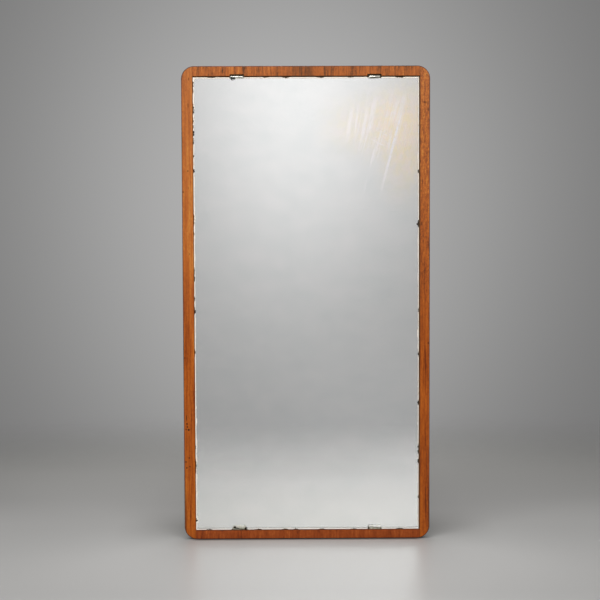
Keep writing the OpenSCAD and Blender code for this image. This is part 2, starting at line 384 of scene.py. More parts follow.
def solid_object(name: str, rings: np.ndarray, cap: Cap) -> bpy.types.Object:
    """Closed mesh through a row of closed rings.

    Point (i, j) is point j of ring i. Faces join each point to the next point of its ring and of the
    next ring, and the first and the last ring are closed by caps.

    Args:
        name: the piece's name.
        rings: points as an array of rings x points x 3, in metres.
        cap: how the first and the last ring are closed.

    Returns:
        The new object, at the origin.
    """
    rows, columns, _ = rings.shape
    index = np.arange(rows * columns).reshape(rows, columns)
    wrapped = np.hstack([index, index[:, :1]])
    corners = (wrapped[:-1, :-1], wrapped[:-1, 1:], wrapped[1:, 1:], wrapped[1:, :-1])
    faces = np.stack(corners, axis=-1).reshape(-1, 4).tolist()
    if cap is Cap.LADDER:
        half = columns // 2
        first, second = index[[0, -1], :half], index[[0, -1], half:][:, ::-1]
        rungs = np.stack([first[:, :-1], first[:, 1:], second[:, 1:], second[:, :-1]], axis=-1)
        faces += rungs.reshape(-1, 4).tolist()
    else:
        faces += index[[0, -1]].tolist()
    mesh = bpy.data.meshes.new(name)
    mesh.from_pydata(rings.reshape(-1, 3).tolist(), [], faces)
    outward = bmesh.new()
    outward.from_mesh(mesh)
    bmesh.ops.recalc_face_normals(outward, faces=outward.faces)
    outward.to_mesh(mesh)
    outward.free()
    return placed(name, mesh)


def slab_object(name: str, x: np.ndarray, z: np.ndarray, front: np.ndarray, back: float) -> bpy.types.Object:
    """Closed slab with a shaped front and a flat back.

    Section i stands at x[i]. It runs from z[i, 0] up to z[i, -1] over the front, whose depth is
    front[i, j], and then down the back, whose depth is `back`.

    Args:
        name: the piece's name.
        x: place of each section.
        z: heights of its points, as sections x points.
        front: depths of its front, as sections x points.
        back: depth of its back.

    Returns:
        The new object, at the origin.
    """
    across = np.broadcast_to(x[:, None], z.shape)
    face = np.stack([across, -front, z], axis=-1)
    rear = np.stack([across, np.full_like(z, -back), z], axis=-1)
    return solid_object(name, np.concatenate([face, rear[:, ::-1]], axis=1), Cap.LADDER)


def eased_copy(node: str, ease: float, segments: int = 2) -> bpy.types.Object:
    """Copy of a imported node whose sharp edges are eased.

    Args:
        node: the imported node.
        ease: width of the eased edge in metres.
        segments: faces across the eased edge.

    Returns:
        The copy, at the origin, with a live bevel.
    """
    mesh = frame["nodes"][node].data.copy()
    mesh.name = node + "_eased"
    mesh.materials.clear()
    merged = bmesh.new()
    merged.from_mesh(mesh)
    bmesh.ops.remove_doubles(merged, verts=merged.verts, dist=SAME_POINT)
    bmesh.ops.dissolve_limit(merged, angle_limit=FLAT, verts=merged.verts, edges=merged.edges)
    merged.to_mesh(mesh)
    merged.free()
    piece = placed(node + "_eased", mesh)
    bevel = piece.modifiers.new("eased edges", "BEVEL")
    bevel.width = ease
    bevel.segments = segments
    bevel.limit_method = "ANGLE"
    bevel.angle_limit = SHARP
    return piece


@dataclass(frozen=True)
class Finish:
    """What every finish shares: its name and the values that are the same all over it."""

    name: str
    metallic: float = 0.0
    roughness: float = 0.5
    specular: float = 0.5

    def material(self) -> bpy.types.Material:
        """Make the material, or give the one already made: a Principled shader and the pattern in it.

        Returns:
            The material.
        """
        known = bpy.data.materials.get(self.name)
        if known:
            return known
        material = bpy.data.materials.new(self.name)
        pattern = Pattern.over(material)
        uniform = {
            "Metallic": self.metallic,
            "Roughness": self.roughness,
            "Specular IOR Level": self.specular,
        }
        pattern.node("OutputMaterial", [pattern.node("BsdfPrincipled", uniform | self.paint(pattern))])
        return material

    def paint(self, pattern: Pattern) -> dict[str, Any]:
        """Draw the pattern.

        Args:
            pattern: the material's empty pattern, over the point in the row frame.

        Returns:
            A socket or a value for each of the shader's inputs that the pattern sets.
        """
        raise NotImplementedError


def settle(
    piece: bpy.types.Object,
    finishes: Sequence[Finish],
    replaced: str,
    body: str = ROOT_BODY,
) -> None:
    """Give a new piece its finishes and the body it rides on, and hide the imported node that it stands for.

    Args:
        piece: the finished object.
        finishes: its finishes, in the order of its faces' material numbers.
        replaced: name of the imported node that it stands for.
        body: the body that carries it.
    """
    for finish in finishes:
        piece.data.materials.append(finish.material())
    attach(piece, body)
    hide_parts(replaced)
    LOG.info("%s: %d faces, rides on %s", piece.name, len(piece.data.polygons), body)


def dress(finish: Finish, *nodes: str) -> None:
    """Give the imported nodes' own objects a finish.

    Args:
        finish: the finish.
        nodes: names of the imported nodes.
    """
    for node in nodes:
        for place in frame["nodes"][node].material_slots:
            place.material = finish.material()
        LOG.info("%s: packed node, in %s", node, finish.name)


def bed_edge(strip: str) -> tuple[Point, float]:
    """Where a face strip meets the bed of the glass.

    Args:
        strip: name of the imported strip.

    Returns:
        The direction across that edge, and how far along it the edge lies, in metres.
    """
    low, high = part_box(strip)
    if "stile" in strip:
        return (1.0, 0.0, 0.0), min(low.x, high.x, key=abs)
    return (0.0, 0.0, 1.0), min(low.z, high.z, key=abs)


@dataclass(frozen=True)
class Teak(Finish):
    """Teak veneer, sliced, sanded and oiled.

    The eye sees long upright streaks a few millimetres wide, slow changes of tone, fine dark pores and
    checks, and a satin sheen. Towards the top a paler grey tone is mixed in: a painted sheen, where the
    lamp's sheen falls. Real pores are 0.2 mm wide; they are drawn 0.5 mm wide, as coarse as they need
    to be to show.

    `streak`, `patch`, `line` and `check` are (width, length) of each kind of grain. `levels` gives the
    tone by height, and `heart` its share by place across the strip. `mottle` is the strength of small
    clouds at the foot and at the top, `rim` the width and the strength of the darkening along the bed.
    Each fleck is (x, z, half width, half height, strength) of a dark mark.
    """

    strip: str = ""
    roughness: float = 0.46
    specular: float = 0.16
    tones: tuple[str, ...] = ("6b2b08", "9f4b10", "b96019", "cd7f31")
    streak: tuple[float, float] = (3.2, 110.0)
    patch: tuple[float, float] = (14.0, 130.0)
    line: tuple[float, float] = (1.1, 40.0)
    sway: float = 5.0
    levels: tuple[tuple[float, float], ...] = ((-480, 0.5), (480, 0.5))
    heart: tuple[tuple[float, float], ...] = ()
    contrast: float = 0.85
    mottle: tuple[float, float] = (0.5, 0.6)
    checks: float = 0.35
    check: tuple[float, float] = (1.5, 11.0)
    # painted sheen: a paler grey tone mixed in towards the top, where the lamp's sheen falls
    top_sheen: str = "cfab7e"
    darkening_colour: str = "1f0b04"
    rim: tuple[float, float] = (1.4, 0.55)
    flecks: tuple[Patch, ...] = ()
    seed: float = 0.0

    def paint(self, pattern: Pattern) -> dict[str, Any]:
        """Draw the grain along Z, level its tone by place, lay a painted sheen over its top and darken it
        along the bed and in flecks.

        Args:
            pattern: the material's empty pattern.

        Returns:
            The colour, the roughness and the relief.
        """
        node, grain, seed = pattern.node, pattern.grain, self.seed
        sway = grain(90, 220, detail=1, seed=seed, out=1)
        bent = node("VectorMath", [sway, (self.sway * MM, 0, 0), pattern.place], operation="MULTIPLY_ADD")
        streaks = grain(*self.streak, detail=4, seed=seed + 3, place=bent)
        lines = grain(*self.line, detail=3, seed=seed + 7, place=bent)
        patches = grain(*self.patch, detail=2, seed=seed + 11, place=bent)
        figure = pattern.weigh((streaks, 0.85), (lines, 0.45), (patches, 0.5))
        figure = node("MapRange", [figure, 0.64, 1.16, -0.5, 0.5], clamp=False)
        height = node("SeparateXYZ", [pattern.place], out="Z")
        clouds = node("Math", [grain(3.2, 5.5, detail=2, seed=seed + 41), 0.5], operation="SUBTRACT")
        amount = node("MapRange", [height, -0.05, 0.3, *self.mottle])
        clouds = node("Math", [clouds, amount], operation="MULTIPLY")
        level = pattern.level("Z", self.levels)
        tone = pattern.weigh((figure, self.contrast), (level, 1.0), (clouds, 1.0))
        if self.heart:
            tone = node("Math", [tone, pattern.level("X", self.heart, bent)], operation="MULTIPLY")
        pores = node("MapRange", [grain(0.5, 7, detail=2, seed=seed + 19, place=bent), 0.57, 0.7])
        checks = grain(*self.check, detail=2, seed=seed + 23, place=bent)
        checks = node("MapRange", [checks, 0.64, 0.72, 0, self.checks])
        colour = pattern.overlay(
            pattern.palette(tone, self.tones),
            # painted sheen towards the top
            (node("MapRange", [height, -0.1, 0.48, 0, 0.14]), self.top_sheen),
            (node("Math", [pores, 0.5, checks], operation="MULTIPLY_ADD"), self.tones[0]),
            # darker along the bed edge and in the flecks
            (self.darkening(pattern), self.darkening_colour),
        )
        depth = pattern.weigh((lines, 0.6), (pores, -1.0), (checks, -1.5))
        return {
            "Base Color": colour,
            "Roughness": node("MapRange", [tone, 0, 1, self.roughness - 0.06, self.roughness + 0.08]),
            "Normal": node("Bump", {"Height": depth, "Distance": 0.08 * MM, "Strength": 0.6}),
        }

    def darkening(self, pattern: Pattern) -> Socket:
        """Dark rim along the bed edge, broken here and there, and the flecks.

        Args:
            pattern: the material's pattern.

        Returns:
            The share of darkening at each point.
        """
        wide, most = self.rim
        near = pattern.node("MapRange", [pattern.apart(*bed_edge(self.strip)), wide * MM, 0.5 * wide * MM])
        broken = pattern.grain(6, 9, detail=2, seed=self.seed + 31)
        broken = pattern.node("MapRange", [broken, 0.35, 0.6, 0.4 * most, most])
        rim = pattern.node("Math", [near, broken], operation="MULTIPLY")
        flecks = (
            pattern.node("MapRange", [pattern.spot(*fleck), 0.04, 0.35, 0, strength])
            for *fleck, strength in self.flecks
        )
        return pattern.strongest(rim, *flecks)


@dataclass(frozen=True)
class TeakBand(Finish):
    """Teak edge band, ironed on and oiled: grain along the band, and darker towards the foot.

    Its streaks are 1.6 mm wide, as on the real band. `foot_darkening` is the share of dark near the foot.
    """

    tones: tuple[str, ...] = ("33150a", "65331a", "8a4f2c")
    foot_darkening: float = 0.0
    seed: float = 0.0

    def paint(self, pattern: Pattern) -> dict[str, Any]:
        """Draw the grain by the attribute `run`: girth round the band, then distance along it.

        Args:
            pattern: the material's empty pattern.

        Returns:
            The colour, the roughness and the relief.
        """
        node = pattern.node
        run = node("Attribute", out="Vector", attribute_name="run")
        streaks = pattern.grain(1.6, 70, detail=4, seed=self.seed, place=run)
        patches = pattern.grain(12, 40, detail=3, seed=self.seed + 5, place=run)
        tone = pattern.weigh((streaks, 0.8), (patches, 1.0))
        height = node("SeparateXYZ", [pattern.place], out="Z")
        # darker towards the foot
        low = node("MapRange", [height, -0.35, -0.43, 0, self.foot_darkening])
        return {
            "Base Color": pattern.overlay(pattern.palette(tone, self.tones, 0.6, 1.2), (low, self.tones[0])),
            "Roughness": node("MapRange", [patches, 0.3, 0.7, 0.42, 0.62]),
            "Normal": node("Bump", {"Height": streaks, "Distance": 0.1 * MM, "Strength": 0.5}),
        }


@dataclass(frozen=True)
class BackVeneer(Finish):
    """Plain veneer on the back, peeled and left unoiled.

    The eye sees broad dull figure, open pores, and dusty stains where air and hands have reached.
    The pores are drawn 0.6 mm wide, three times as wide as real ones, so that they show.
    """

    tones: tuple[str, ...] = ("4c2e1a", "7a5030", "94683f", "a98056")

    def paint(self, pattern: Pattern) -> dict[str, Any]:
        """Draw broad figure, fine lines, pores and stains.

        Args:
            pattern: the material's empty pattern.

        Returns:
            The colour, the roughness and the relief.
        """
        node, grain = pattern.node, pattern.grain
        sway = grain(160, 420, detail=2, out=1)
        bent = node("VectorMath", [sway, (60 * MM, 0, 0), pattern.place], operation="MULTIPLY_ADD")
        figure = grain(22, 600, detail=4, seed=2, place=bent)
        lines = grain(1.4, 60, detail=4, seed=5, place=bent)
        stains = grain(120, 90, detail=4, seed=9)
        tone = pattern.weigh((figure, 1.2), (lines, 0.5), (stains, 0.5))
        pores = node("MapRange", [grain(0.6, 9, detail=2, seed=19, place=bent), 0.56, 0.66])
        open_pores = node("Math", [pores, 0.5], operation="MULTIPLY")
        depth = pattern.weigh((lines, 0.5), (pores, -1.0))
        return {
            "Base Color": pattern.overlay(
                pattern.palette(tone, self.tones, 0.75, 1.4), (open_pores, self.tones[0])
            ),
            "Roughness": node("MapRange", [stains, 0.3, 0.7, 0.6, 0.8]),
            "Normal": node("Bump", {"Height": depth, "Distance": 0.12 * MM, "Strength": 0.8}),
        }


@dataclass(frozen=True)
class SawnWood(Finish):
    """Sawn board or ply edge, unfinished: plies or laths `layer` thick on the cut, with fine saw marks."""

    tones: tuple[str, ...] = ("8c6a44", "b08a5c", "c9a878")
    layer: float = 1.3

    def paint(self, pattern: Pattern) -> dict[str, Any]:
        """Draw the layers through the thickness, streaked along Z.

        Args:
            pattern: the material's empty pattern.

        Returns:
            The colour and the relief.
        """
        scale = (0.0, 1 / (self.layer * MM), 0.0)
        layered = pattern.node("Mapping", {"Vector": pattern.place, "Scale": scale})
        plies = pattern.node("TexNoise", {"Vector": layered, "Scale": 1.0, "Detail": 1.0})
        streaks = pattern.grain(2.5, 45, detail=4, seed=4)
        saw = pattern.grain(30, 0.6, detail=2, seed=8)
        tone = pattern.weigh((plies, 0.8), (streaks, 0.7), (saw, 0.3))
        depth = pattern.weigh((streaks, 0.6), (saw, 0.8))
        return {
            "Base Color": pattern.palette(tone, self.tones, 0.55, 1.25),
            "Normal": pattern.node("Bump", {"Height": depth, "Distance": 0.15 * MM, "Strength": 0.7}),
        }


@dataclass(frozen=True)
class Card(Finish):
    """Grey-brown packing card, pressed from pulp: flecked with fibres and quite dull.

    Real fibres are a few hundredths of a millimetre thick; they are drawn 0.7 mm thick, so that they
    show.
    """

    tones: tuple[str, ...] = ("6d5a44", "8d7759", "a08a6b")

    def paint(self, pattern: Pattern) -> dict[str, Any]:
        """Draw fibres that lie mostly along Z, and soft clouds.

        Args:
            pattern: the material's empty pattern.

        Returns:
            The colour and the relief.
        """
        fibres = pattern.grain(0.7, 4, detail=3, seed=1)
        tone = pattern.weigh((fibres, 0.8), (pattern.grain(25, 30, detail=3, seed=6), 0.8))
        return {
            "Base Color": pattern.palette(tone, self.tones, 0.55, 1.05),
            "Normal": pattern.node("Bump", {"Height": fibres, "Distance": 0.1 * MM, "Strength": 0.6}),
        }


@dataclass(frozen=True)
class EdgeLoss:
    """Dark loss along one side of the glass.

    Each mark is (place along the side, half length, reach inwards), in millimetres. Its reach falls
    towards its ends as (1 - distance / half length)^blunt, which makes it round.
    """

    side: Side
    marks: tuple[tuple[float, float, float], ...]
    blunt: float = 0.36

    def share(self, pattern: Pattern, specks: Socket) -> Socket:
        """Share that is gone: 1 where the distance from the side is less than the reach there.

        Args:
            pattern: the material's pattern.
            specks: noise that makes the reach uneven.

        Returns:
            The share at each point, from 0 to 1.
        """
        node = pattern.node
        axis, inward = self.side.value
        side = getattr(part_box("silvering")[0 if inward > 0 else 1], axis.lower())
        away = node("SeparateXYZ", [pattern.place], out=axis)
        away = node("Math", [away, inward, -inward * side], operation="MULTIPLY_ADD")
        most = max(reach for _, _, reach in self.marks)
        stops = []
        for middle, half, reach in sorted(self.marks):
            peak = (reach / most) ** (1 / self.blunt)
            stops += [(middle - half, 0.0), (middle, peak), (middle + half, 0.0)]
        reach = pattern.level("Z" if axis == "X" else "X", stops)
        reach = node("Math", [reach, self.blunt], operation="POWER")
        uneven = node("MapRange", [specks, 0.3, 0.55, 0, most * MM])
        reach = node("Math", [reach, uneven], operation="MULTIPLY")
        left = node("Math", [reach, away], operation="SUBTRACT")
        return node("MapRange", [left, 0, 0.3 * MM])


@dataclass(frozen=True)
class Streak:
    """Pale run in the silver, from its upper to its lower end, with its half width and its strength."""

    upper: tuple[float, float]
    lower: tuple[float, float]
    width: float
    strength: float

    def share(self, pattern: Pattern, patchy: Socket) -> Socket:
        """Strength of the run: full on its line, and less to each side and towards both ends.

        Args:
            pattern: the material's pattern.
            patchy: noise that makes it uneven.

        Returns:
            The strength at each point, from 0 to 1.
        """
        upper, lower = np.array(self.upper), np.array(self.lower)
        length = float(np.hypot(*(lower - upper)))
        down, middle = (lower - upper) / length, (upper + lower) / 2
        share = pattern.node("MapRange", [patchy, 0.36, 0.5, 0.45 * self.strength, self.strength])
        for way, half in (((-down[1], down[0]), self.width), (tuple(down), length / 2)):
            away = pattern.apart((way[0], 0.0, way[1]), float(np.dot(way, middle)) * MM)
            ends = [away, half * MM, 0.2 * half * MM]
            near = pattern.node("MapRange", ends, interpolation_type="SMOOTHSTEP")
            share = pattern.node("Math", [share, near], operation="MULTIPLY")
        return share


@dataclass(frozen=True)
class Silvering(Finish):
    """Chemical silver on the back of the glass, under copper and paint.

    The eye sees a clean reflection. Damp has eaten it brown-black in spots along the edges, and
    behind the upper right it has turned a mottled cream, with pale runs where it bled down.

    Each cloud is (x, z, half width, half height, strength) of the cream part, in millimetres. The fine
    runs lean by `lean` degrees within the spot `fine_runs`, and bright specks gather in `speckled`.
    """

    metallic: float = 1.0
    edges: tuple[EdgeLoss, ...] = ()
    streaks: tuple[Streak, ...] = ()
    clouds: tuple[Patch, ...] = (
        (208, 358, 92, 136, 1.0),
        (140, 362, 95, 100, 0.6),
        (70, 360, 70, 90, 0.22),
        (200, 265, 75, 95, 0.42),
    )
    fine_runs: tuple[float, float, float, float] = (150, 352, 105, 105)
    speckled: tuple[float, float, float, float] = (184, 340, 70, 40)
    lean: float = 15.0
    clear: str = "ececec"
    eaten: str = "3a2a20"
    cream: str = "ffefd2"
    peach: str = "ffeee0"
    run: str = "fffafd"
    speck: str = "fff6e2"
    # painted light: the silver is lighter near the foot, so the floor's reflection there shows brighter
    foot_reflection_boost: str = "fbfbf9"

    def paint(self, pattern: Pattern) -> dict[str, Any]:
        """Draw the clouds, the fine runs, the marked runs and bright specks, then the loss.

        Args:
            pattern: the material's empty pattern.

        Returns:
            The colour and the roughness.
        """
        node, grain = pattern.node, pattern.grain
        patchy = grain(9, 11, detail=5, seed=3)
        specks = grain(2.2, 3, detail=3, seed=5)
        tints = node("MapRange", [grain(14, 20, detail=3, seed=8), 0.42, 0.58])
        body = pattern.weigh(*((pattern.spot(*cloud), share) for *cloud, share in self.clouds))
        uneven = node("MapRange", [pattern.weigh((patchy, 1.0), (specks, 0.5)), 0.56, 0.9, 0.7, 1.1])
        hazy = node("Math", [body, uneven], operation="MULTIPLY", use_clamp=True)
        height = node("SeparateXYZ", [pattern.place], out="Z")
        # painted light: lighter silver towards the foot
        low = node("MapRange", [height, -0.33, -0.45], interpolation_type="SMOOTHSTEP")
        turn = {"Vector": pattern.place, "Rotation": (0.0, -math.radians(self.lean), 0.0)}
        fine = grain(2.4, 75, detail=2, seed=14, place=node("Mapping", turn))
        fine = node("MapRange", [fine, 0.54, 0.7, 0, 0.7])
        fine = node("Math", [fine, pattern.spot(*self.fine_runs)], operation="MULTIPLY")
        runs = pattern.strongest(fine, *(streak.share(pattern, patchy) for streak in self.streaks))
        bright = pattern.weigh((specks, 1.0), (pattern.spot(*self.speckled), 0.14))
        gone = pattern.strongest(*(loss.share(pattern, specks) for loss in self.edges))
        colour = pattern.overlay(
            self.clear,
            (low, self.foot_reflection_boost),
            (hazy, pattern.overlay(self.cream, (tints, self.peach))),
            (runs, self.run),
            (node("MapRange", [bright, 0.72, 0.76]), self.speck),
            (gone, self.eaten),
        )
        return {"Base Color": colour, "Roughness": pattern.weigh((hazy, 0.03), (runs, 0.02), (gone, 0.5))}


@dataclass(frozen=True)
class FloatGlass(Finish):
    """Clear float glass, 4 mm: polished by the bath it was drawn over, with the faintest green in it."""

    tints: tuple[str, str] = ("fcfdfd", "ffffff")

    def paint(self, pattern: Pattern) -> dict[str, Any]:
        """Draw a faint unevenness of wiping into the tint, and let light through.

        Args:
            pattern: the material's empty pattern.

        Returns:
            The tint, the share of light that goes through and the glass's own IOR.
        """
        tint = pattern.palette(pattern.grain(60, 40, detail=3, seed=2), self.tints, 0.3, 0.7)
        return {"Base Color": tint, "Transmission Weight": 1.0, "IOR": 1.52}


@dataclass(frozen=True)
class GroundGlass(Finish):
    """Ground edge of the glass: cut by a stone and left matt, with the silver behind it.

    The eye sees a pale cream line that takes up some of the light in front of it, and the dark loss
    of the silver through it. Along the top it is darker, a painted shade under the top rail, and along
    the bottom paler, a painted light where the edge catches light from the floor. A stone's grit is
    0.1 mm; it is drawn 0.8 mm wide, so that it shows.
    """

    silvered: float = 0.12
    tones: tuple[str, ...] = ("efe0cc", "fff5e6", "fffcf6")
    top_shade: str = "b79f86"
    bottom_light: str = "fffaf3"
    eaten: str = "2b1c13"
    edges: tuple[EdgeLoss, ...] = ()

    def paint(self, pattern: Pattern) -> dict[str, Any]:
        """Draw grit and soft clouds, the painted shade along the top and the painted light along the bottom,
        and the loss that shows through.

        Args:
            pattern: the material's empty pattern.

        Returns:
            The colour, how metallic it is and the relief.
        """
        node, grain = pattern.node, pattern.grain
        grit = grain(0.8, 0.8, detail=2, seed=6)
        specks = grain(2.2, 3, detail=3, seed=5)
        tone = pattern.weigh((grain(8, 8, detail=4, seed=4), 1.0), (grit, 0.4))
        gone = pattern.strongest(*(loss.share(pattern, specks) for loss in self.edges))
        height = node("SeparateXYZ", [pattern.place], out="Z")
        silvered = [gone, 1 - self.silvered, self.silvered]
        return {
            "Base Color": pattern.overlay(
                pattern.palette(tone, self.tones, 0.4, 0.9),
                # painted shade along the top edge, under the top rail
                (node("MapRange", [height, 0.452, 0.456, 0, 0.2]), self.top_shade),
                # painted light along the bottom edge, where it catches light from the floor
                (node("MapRange", [height, -0.4545, -0.4565, 0, 0.9]), self.bottom_light),
                (gone, self.eaten),
            ),
            "Metallic": node("Math", silvered, operation="MULTIPLY_ADD"),
            "Normal": node("Bump", {"Height": grit, "Distance": 0.05 * MM, "Strength": 0.5}),
        }


@dataclass(frozen=True)
class Nickel(Finish):
    """Nickel plate on bent steel strip, worn: bright where it is whole, olive-brown and black where it is
    tarnished, with painted shade and painted dark reflections in its dark parts.

    Each dark patch is (x, z, half width, half height, strength), in millimetres; the patches are partly
    tarnishing and partly painted shade and painted dark reflection. Between the two heights in `fade`
    the plate goes from bright to dark, partly tarnishing and partly painted shade. Real scratches are
    hair-thin; they are drawn 0.3 mm wide, so that they show.
    """

    metallic: float = 1.0
    roughness: float = 0.28
    tarnish_and_shade_patches: tuple[Patch, ...] = ()
    fade: tuple[float, float] = (480.0, 490.0)
    tarnish_and_shade_depth: float = 0.8
    tones: tuple[str, ...] = ("716d5b", "b0ad9b", "dedccf", "f4f2ea")
    tarnish_and_shade: str = "2e2618"
    seed: float = 0.0

    def paint(self, pattern: Pattern) -> dict[str, Any]:
        """Draw cloudy tarnishing, rolling scratches along the strip, the fade and the dark patches.

        Args:
            pattern: the material's empty pattern.

        Returns:
            The colour, the roughness and the relief.
        """
        node = pattern.node
        clouds = pattern.grain(3.5, 2.5, detail=4, seed=self.seed)
        scratches = pattern.grain(6, 0.3, detail=2, seed=self.seed + 3)
        height = node("SeparateXYZ", [pattern.place], out="Z")
        # the fade: partly tarnishing and partly painted shade
        faded = node("MapRange", [height, *(at * MM for at in self.fade)])
        tone = pattern.weigh((clouds, 1.2), (scratches, 0.4))
        tone = node("MapRange", [tone, 0.5, 1.05, 0.55, 1.1])
        tone = pattern.weigh((tone, 1.0), (faded, -self.tarnish_and_shade_depth))
        patches = []
        # dark patches: partly tarnishing, partly painted shade and painted dark reflections
        for *tarnish_and_shade, strength in self.tarnish_and_shade_patches:
            ragged = pattern.weigh((pattern.spot(*tarnish_and_shade), 1.0), (clouds, 0.4))
            patches.append(node("MapRange", [ragged, 0.25, 0.5, 0, strength]))
        dark = pattern.strongest(*patches)
        return {
            "Base Color": pattern.overlay(pattern.palette(tone, self.tones), (dark, self.tarnish_and_shade)),
            "Roughness": node("Math", [dark, 0.3, self.roughness], operation="MULTIPLY_ADD"),
            "Normal": node("Bump", {"Height": scratches, "Distance": 0.02 * MM, "Strength": 0.4}),
        }


@dataclass(frozen=True)
class PlatedSteel(Finish):
    """Zinc-plated or plain steel, pressed or turned: grey, softly clouded, with fine scratches.

    Real scratches are hair-thin; they are drawn 0.3 mm wide, so that they show.
    """

    metallic: float = 1.0
    roughness: float = 0.36
    tones: tuple[str, ...] = ("7d8084", "a9acb0", "c6c9cc")
    seed: float = 0.0

    def paint(self, pattern: Pattern) -> dict[str, Any]:
        """Draw spangle clouds and scratches.

        Args:
            pattern: the material's empty pattern.

        Returns:
            The colour, the roughness and the relief.
        """
        node = pattern.node
        clouds = pattern.grain(3, 3, detail=4, seed=self.seed)
        scratches = pattern.grain(0.3, 9, detail=2, seed=self.seed + 2)
        tone = pattern.weigh((clouds, 1.1), (scratches, 0.5))
        rough = (self.roughness - 0.08, self.roughness + 0.14)
        return {
            "Base Color": pattern.palette(tone, self.tones, 0.5, 1.1),
            "Roughness": node("MapRange", [clouds, 0.3, 0.7, *rough]),
            "Normal": node("Bump", {"Height": scratches, "Distance": 0.02 * MM, "Strength": 0.4}),
        }


@dataclass(frozen=True)
class BoardOutline:
    """Outline of the board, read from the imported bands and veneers."""

    half_w: float
    half_h: float
    corner_r: float
    band_t: float
    face: float

    @classmethod
    def from_frame(cls) -> "BoardOutline":
        """Read it: the end band starts where the corner ends, the veneer where the band does.

        Returns:
            The outline.
        """
        side_low, side_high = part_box("left_edge_band")
        veneer_low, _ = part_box("left_stile_veneer")
        return cls(
            half_w=-side_low.x,
            half_h=side_high.z,
            corner_r=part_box("top_edge_band")[0].x - side_low.x,
            band_t=veneer_low.x - side_low.x,
            face=-veneer_low.y,
        )

    def top(self, x: np.ndarray) -> np.ndarray:
        """Height of the veneers' outline: level, then down a quarter circle at each side.

        z = centre + sqrt(r^2 - past^2), where `past` is how far x lies beyond the circle's centre.

        Args:
            x: places across the board.

        Returns:
            The height at each place.
        """
        radius = self.corner_r - self.band_t
        past = np.clip(np.abs(x) - (self.half_w - self.corner_r), 0, radius)
        return self.half_h - self.corner_r + np.sqrt(radius**2 - past**2)


